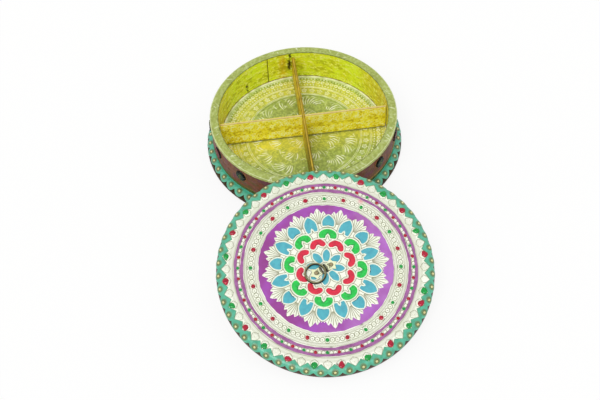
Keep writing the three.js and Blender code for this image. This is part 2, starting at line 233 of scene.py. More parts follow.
class Finishes:
    """The box's own finishes."""

    # White metal foil, pressed and lacquered: satin, with olive tarnish in its lines.
    WHITE_FOIL = Finish(
        "pressed_white_foil", "silver_foil", "#f8faec", "#ecf1da", 12.0, 1.0, 0.05, 0.38, 0.15,
        layers=(("ink", "#66672e"), ("pink", "#e79aa2"), ("dirt", "#54423c"), ("edge", "#40240f")),
    )
    # Raised enamel paint, brushed on thick: glossy and even, with soft pooling.
    TEAL = Finish(
        "brushed_teal_enamel", "teal_enamel", "#58bd9c", "#429676", 4.0, 2.0, 0.08, 0.28, coat=0.2,
        layers=(("ink", "#67702f"),),
    )
    PURPLE = Finish(
        "brushed_purple_enamel", "purple_enamel", "#a850be", "#8e3482", 26.0, 0.9, 0.10, 0.35, coat=0.1,
        layers=(("deep", "#8e2a7c"), ("pale", "#c68ad6")),
    )
    FINE_PURPLE = Finish("thinned_purple_enamel", "purple_enamel", "#a968a4", "#85467c", 5.0, 0.9, 0.08, 0.4)
    BLUE = Finish("brushed_blue_enamel", "blue_enamel", "#50b5c3", "#429fb2", 5.0, 2.0, 0.05, 0.30, coat=0.3)
    GREEN = Finish(
        "brushed_green_enamel", "green_enamel", "#14d24c", "#089c3a", 2.2, 2.0, 0.05, 0.30, coat=0.2
    )
    DEEP_GREEN = Finish("shaded_green_enamel", "green_enamel", "#0e9c40", "#0a8234", 3.0, 2.0, 0.05, 0.35)
    RED = Finish("brushed_red_enamel", "red_enamel", "#e6183e", "#b81234", 3.0, 2.0, 0.05, 0.30, coat=0.2)
    DEEP_RED = Finish("shaded_red_enamel", "red_enamel", "#b01436", "#98102e", 3.0, 2.0, 0.05, 0.35)
    # Thin metal foil under dark maroon lacquer: nearly black, and brown where the lacquer is thin.
    MAROON = Finish(
        "maroon_lacquered_foil", "dark_foil", "#2e0c08", "#443e12", 4.0, 1.0, 0.08, 0.4, specular=0.12
    )
    # Gold paint dabbed on thick, darker where it runs thin.
    GOLD_DOT = Finish(
        "dabbed_gold_paint", "brass", "#e0dca6", "#b9ad62", 1.2, 0.7, 0.05, 0.3, 0.3,
        layers=(("ink", "#5d5a26"),),
    )
    # Cut glass with foil behind it, so light comes back coloured.
    RED_GLASS = Finish(
        "red_cut_glass", "red_stone", "#c20e36", "#7c0822", 1.6, 3.0, 0.0, 0.12, coat=0.2, specular=0.3
    )
    GREEN_GLASS = Finish(
        "green_cut_glass", "green_stone", "#07ae44", "#057032", 1.6, 3.0, 0.0, 0.12, coat=0.2, specular=0.3
    )
    # Cast brass, pale and polished, with painted shade and painted dark reflections on the strap's arch,
    # necks and stars.
    BRASS = Finish(
        "pale_cast_brass", "brass", "#f8fbd8", "#e9edba", 3.0, 1.0, 0.03, 0.4, specular=0.12,
        layers=(("ink", "#100c04"),),
    )
    # The same brass, greyed where the ring hangs, with painted shade on one side of the ring's wire and
    # beneath it.
    RING_BRASS = Finish(
        "greyed_cast_brass", "brass", "#aca87c", "#7a754a", 2.0, 1.0, 0.03, 0.3, specular=0.25,
        layers=(("ink", "#120e06"),),
    )
    # Iron nail heads, browned and worn round, with painted shade towards the rim and in the middle, round a
    # painted highlight.
    NAIL = Finish(
        "browned_nail", "brass", "#b3a67c", "#86744c", 1.0, 0.8, 0.05, 0.4, 0.2, layers=(("ink", "#3e3018"),)
    )
    # Foil pressed with a pattern under golden lacquer: bright, with painted highlights on its relief and
    # painted shade in its hollows, corners and gaps.
    GOLD_LINING = Finish(
        "gold_lacquered_lining", "gold_foil", "#e6fb2e", "#e0e01e", 22.0, 1.6, 0.08, 0.35, 0.1, specular=0.3,
        # Painted shade: amber by the dividers, and darkest in the seam, the bottom corner, holes and gaps.
        layers=(("amber", "#dcb010"), ("ink", "#9a9612"), ("shine", "#f9fc86"), ("dirt", "#2c2006")),
    )
    GOLD_DIVIDER = Finish(
        "gold_lacquered_divider_foil", "gold_foil", "#fff640", "#f8e230", 12.0, 1.4, 0.06, 0.35, 0.1,
        specular=0.3,
        # Painted highlights on the raised pattern, and painted shade in its hollows and along the bottom.
        layers=(("ink", "#ceb41a"), ("shine", "#ffffbe"), ("dirt", "#1e1604")),
    )
    CROSS_GOLD = Finish(
        "amber_lacquered_divider_foil", "gold_foil", "#e2c01c", "#c09c12", 7.0, 1.4, 0.06, 0.35, 0.1,
        specular=0.2,
        # Painted highlights on the raised pattern, and painted shade in its hollows, towards its front end
        # and along the bottom.
        layers=(("ink", "#96760a"), ("shine", "#eeda42"), ("dusk", "#5c5008"), ("dirt", "#2e1e06")),
    )
    FLOOR_FOIL = Finish(
        "pale_lacquered_floor_foil", "gold_foil", "#bfce66", "#abbe54", 18.0, 1.3, 0.05, 0.32, 0.1,
        specular=0.4,
        # The glow is painted light on the floor.
        layers=(("glow", "#f0e650"), ("ink", "#869440"), ("shine", "#fbfde0")),
    )
    RIM_FOIL = Finish(
        "olive_lacquered_rim_foil", "olive_foil", "#a9b759", "#9ba64c", 14.0, 1.0, 0.05, 0.36, 0.1,
        # Painted shade along the inner edge, and painted highlights on the dashes and the outer rounding.
        layers=(("ink", "#565c1e"), ("shine", "#e6eec0")),
    )
    # Translucent plum lacquer, uneven over pressed foil.
    PLUM = Finish(
        "plum_lacquered_foil", "plum_enamel", "#7c5038", "#543220", 5.0, 1.1, 0.10, 0.4, specular=0.12,
        layers=(
            ("violet", "#68344c"), ("rust", "#74361e"), ("olive", "#565220"), ("band", "#4c5c24"),
            ("spot", "#0c3420"), ("gold", "#b89a30"), ("teal", "#4cb096"),
        ),
    )
    # Dark cut glass with a gold squiggle on it: nearly black at its rim.
    DARK_GREEN_GLASS = Finish(
        "dark_green_cut_glass", "dark_green_stone", "#04361f", "#021a10", 2.5, 3.0, 0.0, 0.2, specular=0.12,
        layers=(("gold", "#6a7424"), ("rim", "#0a0d08")),
    )
    DARK_RED_GLASS = Finish(
        "dark_red_cut_glass", "dark_red_stone", "#740c18", "#3c080c", 2.5, 3.0, 0.0, 0.2, specular=0.12,
        layers=(("gold", "#6f4020"), ("rim", "#120807")),
    )
    # Sawn softwood, stained thinly: matt, with soft dark streaks.
    WOOD = Finish("sawn_stained_wood", "wood", "#d2a878", "#b58654", 3.0, 0.8, 0.05, 0.6)
    # The same wood under a wash of gold, which the dividers' bare edges show.
    LONG_WOOD = Finish("pale_gilt_wood", "wood", "#dfd08e", "#ccae66", 4.0, 0.8, 0.05, 0.5)
    CROSS_WOOD = Finish("amber_gilt_wood", "wood", "#c9aa26", "#8f780e", 14.0, 0.8, 0.05, 0.5)


# Modelling with Blender's operators.


def select_only(*pieces: Piece) -> None:
    """Selects objects alone.

    Args:
        pieces: The objects, the first of which becomes the active one.
    """
    bpy.ops.object.select_all(action="DESELECT")
    for piece in pieces:
        piece.select_set(True)
    bpy.context.view_layer.objects.active = pieces[0]


def named(name: str) -> Piece:
    """Names the active object.

    Args:
        name: Its new name, and its mesh's.

    Returns:
        The object.
    """
    piece = bpy.context.object
    piece.name = piece.data.name = name
    return piece


def started(name: str) -> Piece:
    """Names the primitive that was just added, and selects it alone.

    Args:
        name: Its name.

    Returns:
        The piece.
    """
    piece = named(name)
    select_only(piece)
    return piece


def points_of(piece: Piece) -> Array:
    """Reads where a piece's points are.

    Args:
        piece: The piece.

    Returns:
        Their places, one row each, in metres.
    """
    flat = np.empty(len(piece.data.vertices) * 3, np.float32)
    piece.data.vertices.foreach_get("co", flat)
    return flat.reshape(-1, 3)


def move_points(piece: Piece, points: Array) -> None:
    """Moves a piece's points to new places, in metres."""
    piece.data.vertices.foreach_set("co", points.astype(np.float32).ravel())
    piece.data.update()


@contextmanager
def editing(piece: Piece, whole: bool = True) -> Iterator[None]:
    """Holds a piece in edit mode.

    Args:
        piece: The piece.
        whole: Whether its whole mesh is selected at first.

    Yields:
        Nothing.
    """
    select_only(piece)
    bpy.ops.object.mode_set(mode="EDIT")
    if whole:
        bpy.ops.mesh.select_all(action="SELECT")
    yield
    bpy.ops.object.mode_set(mode="OBJECT")


def tidy_mesh(piece: Piece, smooth: float = 40.0) -> None:
    """Merges doubled points, turns the faces outwards and shades them smooth.

    Args:
        piece: The piece.
        smooth: Angle in degrees up to which an edge is shaded smooth.
    """
    with editing(piece):
        bpy.ops.mesh.remove_doubles(threshold=MERGE)
        bpy.ops.mesh.normals_make_consistent(inside=False)
    bpy.ops.object.shade_smooth_by_angle(angle=math.radians(smooth))


def join(name: str, pieces: Sequence[Piece]) -> Piece:
    """Joins pieces into one.

    Args:
        name: Its name.
        pieces: The pieces.

    Returns:
        The joined piece.
    """
    select_only(*pieces)
    if len(pieces) > 1:
        bpy.ops.object.join()
    return named(name)


def copies(name: str, pattern: Piece, places: Sequence[Matrix]) -> Piece:
    """Copies a pattern to each place, deletes the pattern and joins the copies.

    Args:
        name: Name of the joined piece.
        pattern: The shape that repeats, about the origin.
        places: Where each copy goes.

    Returns:
        The joined piece.
    """
    made = []
    for place in places:
        copy = pattern.copy()
        copy.data = pattern.data.copy()
        copy.data.transform(place)
        bpy.context.scene.collection.objects.link(copy)
        made.append(copy)
    bpy.data.objects.remove(pattern)
    return join(name, made)


def turned(degrees: float, axis: str = "Z") -> Matrix:
    """The matrix that turns a piece about an axis."""
    return Matrix.Rotation(math.radians(degrees), 4, axis)


def moved(x: float, y: float, z: float) -> Matrix:
    """The matrix that moves a piece by some mm."""
    return Matrix.Translation((x * MM, y * MM, z * MM))


@dataclass(frozen=True)
class Rounded:
    """A flat round top that runs out over a rounded edge. Places are mm along it from its centre.

    Args:
        core: Radius at which the rounding begins.
        top: Height of the flat top.
        radius: Radius of the rounding.
        sweep: Degrees that the rounding turns through.
    """

    core: float
    top: float
    radius: float = 1.0
    sweep: float = 0.0

    def along(self, degrees: float) -> float:
        """The place where the rounding has turned by some degrees."""
        return self.core + self.radius * math.radians(degrees)

    def at(self, place: Array, lift: Array) -> tuple[Array, Array]:
        """Finds places on the surface.

        Args:
            place: The places, in mm along it.
            lift: How far off it they are, in mm.

        Returns:
            The radius and the height of each.
        """
        sweep = math.radians(self.sweep)
        turn = np.clip((place - self.core) / self.radius, 0, sweep)
        past = np.maximum(place - self.core - self.radius * sweep, 0)
        across = np.minimum(place, self.core) + (self.radius + lift) * np.sin(turn)
        height = self.top - self.radius + (self.radius + lift) * np.cos(turn)
        return across + past * math.cos(sweep), height - past * math.sin(sweep)


@dataclass(frozen=True)
class Upright:
    """The wall of a cylinder, facing out (1) or in (-1). Places are heights in mm."""

    radius: float
    facing: int = 1

    def at(self, place: Array, lift: Array) -> tuple[Array, Array]:
        """Radius and height of places on the surface, lifted off it by some mm."""
        return self.radius + self.facing * lift + place * 0, place + lift * 0


def seat(surface: Rounded | Upright, place: float, angle: float, lift: float = 0.0) -> Matrix:
    """Finds where a small piece sits on a surface, its Z away from it.

    Args:
        surface: The surface that carries it.
        place: Place along the surface in mm.
        angle: Angle round Z in degrees.
        lift: Distance off the surface in mm.

    Returns:
        The matrix that takes a piece from the origin to there.
    """
    turn = math.radians(angle)

    def point(along: float, off: float) -> Vector:
        """A point of the surface, some mm off it."""
        across, height = (float(value) for value in surface.at(np.array(along), np.array(off)))
        return Vector((across * math.cos(turn), across * math.sin(turn), height))

    foot = point(place, lift)
    up = (point(place, lift + 1) - foot).normalized()
    along = (point(place + 0.1, lift) - foot).normalized()
    side = up.cross(along).normalized()
    return Matrix.Translation(foot * MM) @ Matrix((along, side, up)).transposed().to_4x4()


def fixed(inner: float, outer: float) -> Span:
    """A span between two places that are the same all round."""
    return lambda angle: (angle * 0 + inner, angle * 0 + outer)


def plain(place: Array, _: Array) -> Pressed:
    """No relief and no attributes."""
    return place * 0, {}


def sheet_rows(count: int, thickness: float) -> list[Row]:
    """Rows of a pressed sheet: its face, which carries the relief, then its plain back.

    Args:
        count: How many steps cross the face.
        thickness: Thickness in mm.

    Returns:
        Share of the way across, offset in mm, lift in mm and share of the relief, for each row.
    """
    face = [(i / count, 0.0, 0.0, 1.0) for i in range(count + 1)]
    back = [(share, 0.0, -thickness, 0.0) for share in (1.0, 0.75, 0.5, 0.25, 0.0)]
    return face + back


def paint_rows(count: int, rise: float, edge: float = 0.4) -> list[Row]:
    """Rows of a raised layer of paint with rounded edges.

    Args:
        count: How many steps cross its top.
        rise: Thickness in mm.
        edge: Width of the rounding in mm.

    Returns:
        Share of the way across, offset in mm, lift in mm and share of the relief, for each row.
    """
    rounding = [(0.0, -0.3), (0.0, 0.2), (0.12, 0.62), (0.45, 0.9)]
    near = [(0.0, offset * edge, lift * rise, 0.0) for offset, lift in rounding]
    top = [(i / count, edge * (1 - 2 * i / count), rise, 1.0) for i in range(count + 1)]
    far = [(1.0, -offset * edge, lift * rise, 0.0) for offset, lift in reversed(rounding)]
    return near + top + far


def sheet_grid(name: str, columns: int, rows: Sequence[tuple[float, ...]]) -> tuple[Piece, Array, Array]:
    """Adds a flat grid that will be bent into a sheet closed across its rows.

    Args:
        name: Name of the piece.
        columns: How many steps it has along X.
        rows: What is known of each row.

    Returns:
        The piece, the share of the way along X of each point, and what is known of its row.
    """
    bpy.ops.mesh.primitive_grid_add(x_subdivisions=columns, y_subdivisions=len(rows), size=1.0)
    piece = started(name)
    flat = points_of(piece)
    row = np.round((flat[:, 1] + 0.5) * len(rows)).astype(int) % len(rows)
    return piece, flat[:, 0], np.array(rows, float)[row].T


def shell(
    name: str,
    columns: int,
    rows: Sequence[Row],
    surface: Rounded | Upright,
    span: Span,
    relief: Relief = plain,
) -> Piece:
    """Bends a grid round Z into a closed shell that lies on a surface.

    Args:
        name: Name of the piece.
        columns: How many steps go round.
        rows: Its rows, as sheet_rows and paint_rows give them.
        surface: The surface that it lies on.
        span: Its inner and outer place on that surface for each angle.
        relief: Height in mm and attributes for each place and angle.

    Returns:
        The piece.
    """
    piece, share_round, (share, offset, lift, weight) = sheet_grid(name, columns, rows)
    angle = (share_round + 0.5) * 360
    inner, outer = span(angle)
    place = inner + share * (outer - inner) + offset
    height, attributes = relief(place, angle)
    across, up = surface.at(place, lift + weight * height)
    turn = np.radians(angle)
    move_points(piece, np.stack([across * np.cos(turn), across * np.sin(turn), up], axis=1) * MM)
    dye(piece, **attributes)
    tidy_mesh(piece)
    return piece


def dye(piece: Piece, **layers: Array) -> None:
    """Gives a piece's points the attributes that its finish reads.

    Args:
        piece: The piece.
        layers: The value of each attribute at each point, kept from 0 to 1.
    """
    for name, values in layers.items():
        layer = piece.data.attributes.new(name, "FLOAT", "POINT")
        layer.data.foreach_set("value", unit(values).astype(np.float32))


def ribbon(line: Array, half: Array) -> Array:
    """Outline of a ribbon along a line.

    Args:
        line: The points of its middle, one row each.
        half: Half of its width at each point.

    Returns:
        The outline, one row a point.
    """
    step = np.gradient(line, axis=0)
    side = np.column_stack([-step[:, 1], step[:, 0]]) / np.linalg.norm(step, axis=1)[:, None]
    return np.vstack([line + side * half[:, None], (line - side * half[:, None])[::-1]])


def patch(name: str, outline: Array, bottom: float, rise: float) -> Piece:
    """A patch of raised paint with a rounded edge.

    Args:
        name: Name of the piece.
        outline: Its outline, one row a point, in mm.
        bottom: Height of its underside in mm.
        rise: Its thickness in mm.

    Returns:
        The piece.
    """
    bpy.ops.mesh.primitive_circle_add(vertices=len(outline), radius=1.0, fill_type="NGON")
    piece = started(name)
    heights = np.full(len(outline), bottom)
    move_points(piece, np.column_stack([outline[::-1], heights]) * MM)
    with editing(piece):
        bpy.ops.mesh.extrude_region_move(TRANSFORM_OT_translate={"value": (0, 0, rise * 0.6 * MM)})
        bpy.ops.mesh.inset(thickness=0.16 * MM, depth=rise * 0.28 * MM)
        bpy.ops.mesh.inset(thickness=0.3 * MM, depth=rise * 0.12 * MM)
    tidy_mesh(piece, 60)
    return piece


def cut_stone(name: str, radius: float, rise: float, sides: int = 8) -> Piece:
    """A cut stone: a girdle, a crown of facets and a table, its base at the origin.

    Args:
        name: Name of the piece.
        radius: Radius in mm.
        rise: Height in mm.
        sides: Sides of its girdle.

    Returns:
        The piece.
    """
    bpy.ops.mesh.primitive_cylinder_add(vertices=sides, radius=radius * MM, depth=rise * 0.6 * MM)
    piece = started(name)
    with editing(piece):
        bpy.ops.mesh.select_mode(type="FACE")
    for face in piece.data.polygons:
        face.select = face.normal.z > 0.9
    with editing(piece, whole=False):
        for lift, scale in ((0.45, 0.78), (0.2, 0.62)):
            bpy.ops.mesh.extrude_region_move(TRANSFORM_OT_translate={"value": (0, 0, rise * lift * MM)})
            bpy.ops.transform.resize(value=(scale, scale, 1))
    tidy_mesh(piece, 5)
    return piece


def draw_out(stone: Piece, share: float) -> Piece:
    """Draws a stone out into a drop along X.

    Args:
        stone: The stone, about the origin.
        share: Share of its radius by which its tip moves.

    Returns:
        The same stone.
    """
    points = points_of(stone)
    ahead = unit(points[:, 0] / points[:, 0].max())[:, None]
    move_points(stone, points * (1 + ahead * (share, -share, 0)))
    return stone


def gold_dot() -> Piece:
    """A domed dot of gold paint in a thin dull ring, its base at the origin.

    Returns:
        The piece.
    """
    bpy.ops.mesh.primitive_uv_sphere_add(segments=10, ring_count=6, radius=1.35 * MM)
    dome = started("dot")
    bpy.ops.transform.resize(value=(1, 1, 0.7))
    bpy.ops.object.transform_apply(location=False, rotation=False, scale=True)
    bpy.ops.mesh.primitive_torus_add(
        major_radius=1.75 * MM, minor_radius=0.3 * MM, major_segments=14, minor_segments=4
    )
    ring = started("dot_ring")
    for part, dark in ((dome, 0.0), (ring, 0.85)):
        dye(part, ink=np.full(len(part.data.vertices), dark))
    dot = join("dot", [dome, ring])
    tidy_mesh(dot, 60)
    return dot


def finish_piece(
    piece: Piece,
    body: Body,
    finish: Finish,
    replaces: Sequence[str] = (),
    place: Matrix | None = None,
) -> None:
    """Moves a piece's mesh into place, dresses it and ties it to the frame.

    Args:
        piece: The piece.
        body: The body that it rides on.
        finish: Its finish.
        replaces: Names of the nodes that it stands for.
        place: Where its mesh goes, if it was made about the origin.
    """
    if place is not None:
        piece.data.transform(place)
    piece.data.materials.clear()
    piece.data.materials.append(finish.material())
    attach(piece, body.value)
    if replaces:
        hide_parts(*replaces)
    LOG.info("%s: %d faces, on %s", piece.name, len(piece.data.polygons), body.value)


# Patterns pressed and painted round a centre.


def unit(value: Array) -> Array:
    """Values kept from 0 to 1."""
    return np.clip(value, 0, 1)


def fold(angle: Array, count: int, start: float) -> tuple[Array, Array]:
    """Folds angles in degrees into one copy of a pattern.

    Args:
        angle: The angles.
        count: How many copies go round.
        start: Angle of the first copy's middle.

    Returns:
        Each angle from the middle of its nearest copy, and that copy's number.
    """
    turns = (angle - start) * count / 360
    copy = np.round(turns)
    return (turns - copy) * 360 / count, copy.astype(int) % count


def ridge(distance: Array, width: float) -> Array:
    """A soft ridge: one where the distance is zero, and nothing past its width."""
    return unit(1 - (distance / width) ** 2) ** 2


def apart(place: Array, turn: Array, middle: float) -> Array:
    """Distance in mm from a point on a flat sheet, its middle mm out and at an angle of zero."""
    return np.hypot(place - middle, np.radians(turn) * place)


def dot_halo(place: Array, turn: Array, middle: float) -> Array:
    """The dull ring of paint round a gold dot."""
    return 0.85 * ridge(apart(place, turn, middle) - 2.5, 0.9)


def rope(place: Array, angle: Array, inner: float, outer: float, strands: int) -> Array:
    """A twisted rope between two places, made of slanted strands.

    Args:
        place: Places in mm.
        angle: Angles in degrees.
        inner: Where the rope begins.
        outer: Where it ends.
        strands: How many strands go round.

    Returns:
        Its height from 0 to 1.
    """
    middle, half = (inner + outer) / 2, (outer - inner) / 2
    slant, _ = fold(angle + (place - middle) * 90 / middle, strands, 0.0)
    band = unit(1 - ((place - middle) / half) ** 2)
    return np.sqrt(band) * np.cos(np.radians(slant * strands * 0.5)) ** 2


def mottle(across: Array, along: Array, size: tuple[float, float], seed: int, wrap: int = 0) -> Array:
    """Soft random blotches from -1 to 1.

    Args:
        across: First coordinate of each point.
        along: Second coordinate of each point.
        size: Size of a blotch in each coordinate.
        seed: Which blotches these are.
        wrap: How many blotches there are before the first one comes again, or 0.

    Returns:
        The blotch at each point.
    """
    values = np.random.default_rng(SEED + seed).uniform(-1, 1, (wrap or 997, 211))
    a, b = across / size[0], along / size[1]
    i, j = np.floor(a).astype(int), np.floor(b).astype(int)
    u, v = a - i, b - j
    u, v = u * u * (3 - 2 * u), v * v * (3 - 2 * v)
    low, high = i % values.shape[0], (i + 1) % values.shape[0]
    near, far = j % values.shape[1], (j + 1) % values.shape[1]
    first = values[low, near] * (1 - u) + values[high, near] * u
    second = values[low, far] * (1 - u) + values[high, far] * u
    return first * (1 - v) + second * v


def depth_in(x: Array, y: Array, outline: Array) -> Array:
    """How deep points lie inside an outline, in mm, and negative outside it.

    Args:
        x: Their places along X.
        y: Their places along Y.
        outline: The outline, one row a point.

    Returns:
        The depth of each point.
    """
    nearest = np.full(x.shape, np.inf)
    inside = np.zeros(x.shape, bool)
    for (ax, ay), (bx, by) in zip(outline, np.roll(outline, -1, axis=0)):
        ex, ey = bx - ax, by - ay
        share = unit(((x - ax) * ex + (y - ay) * ey) / (ex * ex + ey * ey))
        nearest = np.minimum(nearest, (x - ax - share * ex) ** 2 + (y - ay - share * ey) ** 2)
        if ey:
            inside ^= ((ay > y) != (by > y)) & (x < ax + (y - ay) * ex / ey)
    return np.where(inside, 1, -1) * np.sqrt(nearest)


@dataclass(frozen=True)
class Motif(ABC):
    """A painted form of the medallion.

    Args:
        name: Name of the piece that its copies make.
        paint: Its finish.
        shading: The finish of a darker stroke on it, if it has one.
        count: How many go round.
        start: Angle of the first one in degrees.
        foot: Radius of its inner end in mm.
        tip: Radius of its outer end.
        half: Half of its width.
    """

    name: str
    paint: Finish
    shading: Finish | None
    count: int
    start: float
    foot: float
    tip: float
    half: float

    @abstractmethod
    def outline(self) -> Array:
        """Its outline in mm, with X away from the middle of the lid."""

    @abstractmethod
    def shade(self) -> Array:
        """The middle line of a shaded stroke on it."""

    def wobble(self) -> tuple[Array, Array]:
        """By how many degrees and mm the hand of its maker set each copy off."""
        rng = np.random.default_rng(SEED + self.count + int(self.tip))
        return rng.uniform(-0.7, 0.7, self.count), rng.uniform(-0.35, 0.35, self.count)

    def depth(self, place: Array, angle: Array) -> Array:
        """How deep places of the lid lie inside the nearest copy.

        Args:
            place: Places in mm.
            angle: Angles in degrees.

        Returns:
            The depths in mm, negative outside, and some way off where no copy is near.
        """
        turns, shifts = self.wobble()
        turn, copy = fold(angle, self.count, self.start)
        turn = np.radians(turn - turns[copy])
        out = np.full(place.shape, -9.0)
        near = (place > self.foot - 4) & (place < self.tip + 4)
        x = place[near] * np.cos(turn[near]) - shifts[copy][near]
        out[near] = depth_in(x, place[near] * np.sin(turn[near]), self.outline())
        return out

    def places(self) -> list[Matrix]:
        """Where each copy goes on the lid."""
        angles = np.arange(self.count) * 360 / self.count + self.start
        return [turned(angle + turn) @ moved(off, 0, 0) for angle, turn, off in zip(angles, *self.wobble())]


@dataclass(frozen=True)
class Leaf(Motif):
    """A leaf, notched by a nub of bare metal at its foot.

    Args:
        belly: Share of its length at which it is widest.
        heel: Share of its width at its foot.
        point: 1 for a round tip, and more for a pointed one.
        nub: Half width and length of the nub in mm.
    """

    belly: float = 0.4
    heel: float = 0.8
    point: float = 1.0
    nub: tuple[float, float] = (0.0, 0.0)

    def outline(self) -> Array:
        """Its outline in mm, with X away from the middle of the lid.

        Returns:
            The outline, one row a point.
        """
        share = 0.5 - 0.5 * np.cos(np.linspace(0, math.pi, 15))
        inner = self.heel + (1 - self.heel) * np.sqrt(unit(1 - (1 - share / self.belly) ** 2))
        reach = unit((share - self.belly) / (1 - self.belly))
        outer = (1 - reach**2) ** (0.5 * self.point)
        width = self.half * np.where(share < self.belly, inner, outer)
        x = self.foot + share * (self.tip - self.foot)
        side = np.column_stack([x, width])[:-1]
        half, long = self.nub
        notch = ((long, 0.0), (long * 0.6, half * 0.75), (0.3, half)) if long else ()
        upper = [*((self.foot + off, y) for off, y in notch), *side, (self.tip, 0.0)]
        lower = [(px, -py) for px, py in reversed(upper) if py > 1e-6]
        return np.array(upper + lower)

    def shade(self) -> Array:
        """The middle line of a shaded stroke, bent over its nub.

        Returns:
            The line, one row a point.
        """
        half, long = self.nub
        above = ((0.9, half + 0.7), (long * 0.6, half * 0.75 + 0.75), (long - 0.2, 0.85), (long + 0.9, 0.0))
        points = [*above, *((x, -y) for x, y in reversed(above[:-1]))]
        return np.array(points) + (self.foot, 0.0)


@dataclass(frozen=True)
class Crescent(Motif):
    """A crescent bent round bare metal, open to the middle of the lid. Half of its width is its outer radius.

    Args:
        hollow: Its inner radius in mm.
        sweep: Degrees from its middle to each end.
    """

    hollow: float = 2.0
    sweep: float = 100.0

    def arc(self, radius: float, sweep: float) -> Array:
        """Points of an arc about the crescent's own middle."""
        turn = np.radians(np.linspace(-sweep, sweep, 17))
        return np.column_stack([self.tip - self.half + radius * np.cos(turn), radius * np.sin(turn)])

    def outline(self) -> Array:
        """Its outline in mm, with X away from the middle of the lid.

        Returns:
            The outline, one row a point.
        """
        thick = (self.half - self.hollow) / 2
        share = np.abs(np.linspace(-1, 1, 17))
        half = thick * np.clip((1.02 - share**9) ** 0.5, 0.15, 1)
        return ribbon(self.arc(self.half - thick, self.sweep), half)

    def shade(self) -> Array:
        """The middle line of a shaded stroke along its inner side."""
        return self.arc(self.hollow + 0.8, self.sweep * 0.8)


# The studio.


@dataclass
class Studio:
    """Camera, floor and soft light, in metres and degrees.

    The camera's place and axes were fitted to the circles of the box in the photograph.
    """

    place: tuple[float, float, float] = (-0.07656, -0.757, 0.8663)
    right: tuple[float, float, float] = (0.99126, -0.12845, -0.02991)
    up: tuple[float, float, float] = (0.11916, 0.77506, 0.62048)
    lens: float = 67.05  # mm
    shift: float = -0.00075
    floor_size: float = 12.0
    floor_glow: float = 0.84  # share of plain white in what is seen of the floor
    sky: float = 0.72
    lamp: float = 1.2
    lamp_turn: tuple[float, float, float] = (32.0, -18.0, 0.0)
    lamp_width: float = 35.0

    def build(self) -> None:
        """Makes the camera, the floor and the light."""
        self.add_camera()
        self.add_floor()
        self.add_world()
        bpy.ops.object.light_add(type="SUN", rotation=[math.radians(a) for a in self.lamp_turn])
        lamp = bpy.context.object
        lamp.name = "key_light"
        lamp.data.energy = self.lamp
        lamp.data.angle = math.radians(self.lamp_width)

    def add_camera(self) -> None:
        """Adds the camera where the photograph was taken from."""
        right = Vector(self.right).normalized()
        back = right.cross(Vector(self.up)).normalized()
        axes = Matrix((right, back.cross(right), back)).transposed()
        bpy.ops.object.camera_add(location=self.place, rotation=axes.to_euler())
        camera = bpy.context.object
        camera.data.lens = self.lens
        camera.data.sensor_width = 36.0
        camera.data.shift_y = self.shift
        bpy.context.scene.camera = camera

    def seen_directly(self, tree: Tree) -> Socket:
        """Makes a value that is one for what the camera sees, straight or in gloss or through glass.

        Args:
            tree: The tree that gets it.

        Returns:
            The value's socket.
        """
        path = add_node(tree, "ShaderNodeLightPath")
        total = path.outputs["Is Camera Ray"]
        for ray in ("Is Glossy Ray", "Is Transmission Ray"):
            both = {0: total, 1: path.outputs[ray]}
            total = add_node(tree, "ShaderNodeMath", {"operation": "MAXIMUM"}, both).outputs[0]
        return total

    def add_floor(self) -> None:
        """Adds a pale floor that keeps a soft shadow."""
        bpy.ops.mesh.primitive_plane_add(size=self.floor_size, location=(0, 0, 0))
        floor = started("floor")
        material = bpy.data.materials.new("pale_paper")
        material.use_nodes = True
        tree = material.node_tree
        tree.nodes.clear()
        paper = add_node(tree, "ShaderNodeBsdfDiffuse", {"Color": linear("#fafaf8")})
        glow = add_node(tree, "ShaderNodeEmission", {"Strength": 1.0})
        share = {"operation": "MULTIPLY", 1: self.floor_glow}
        amount = add_node(tree, "ShaderNodeMath", share, {0: self.seen_directly(tree)})
        both = {0: amount.outputs[0], 1: paper.outputs[0], 2: glow.outputs[0]}
        mixed = add_node(tree, "ShaderNodeMixShader", links=both)
        add_node(tree, "ShaderNodeOutputMaterial", links={"Surface": mixed.outputs[0]})
        floor.data.materials.append(material)

    def add_world(self) -> None:
        """Adds a white world whose light is softer than it looks."""
        world = bpy.data.worlds.new("studio")
        bpy.context.scene.world = world
        world.use_nodes = True
        tree = world.node_tree
        tree.nodes.clear()
        levels = {"To Min": self.sky, "To Max": 1.0}
        strength = add_node(tree, "ShaderNodeMapRange", levels, {"Value": self.seen_directly(tree)})
        white, level = {"Color": (1, 1, 1, 1)}, {"Strength": strength.outputs["Result"]}
        light = add_node(tree, "ShaderNodeBackground", white, level)
        add_node(tree, "ShaderNodeOutputWorld", links={"Surface": light.outputs["Background"]})


# The lid.


def lid_place(above_plug: float = 0.3) -> Matrix:
    """Finds the lid's place from the upper face of its plug disc.

    Args:
        above_plug: How far the lid's underside lies above that face, in mm.

    Returns:
        The matrix that takes the flat lid to there.
    """
    faces = [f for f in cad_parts["lid_plug_disc"].data.polygons if f.normal.z > 0.9]
    area = sum(face.area for face in faces)
    normal = sum((face.normal * face.area for face in faces), Vector()) / area
    centre = sum((face.center * face.area for face in faces), Vector()) / area
    tilt = math.atan2(-normal.y, normal.z)
    return Matrix.Translation(centre + normal * above_plug * MM) @ Matrix.Rotation(tilt, 4, "X")


@dataclass(frozen=True)
class StoneRing:
    """A ring of small stones, with pressed beads between them.

    Args:
        place: Radius of the ring in mm.
        start: Angle of the first stone in degrees.
        stones: How many stones go round.
        every: How many beads and stones there are to one stone.
        sizes: Radius in mm of a red stone and of a green one.
    """

    place: float
    start: float
    stones: int
    every: int
    sizes: tuple[float, float]

    def around(self, place: Array, angle: Array) -> tuple[Array, Array]:
        """Finds the nearest stone or bead.

        Args:
            place: Places in mm.
            angle: Angles in degrees.

        Returns:
            The distance in mm from its middle, and whether it is a stone.
        """
        turn, copy = fold(angle, self.stones * self.every, self.start)
        return apart(place, turn, self.place), copy % self.every == 0


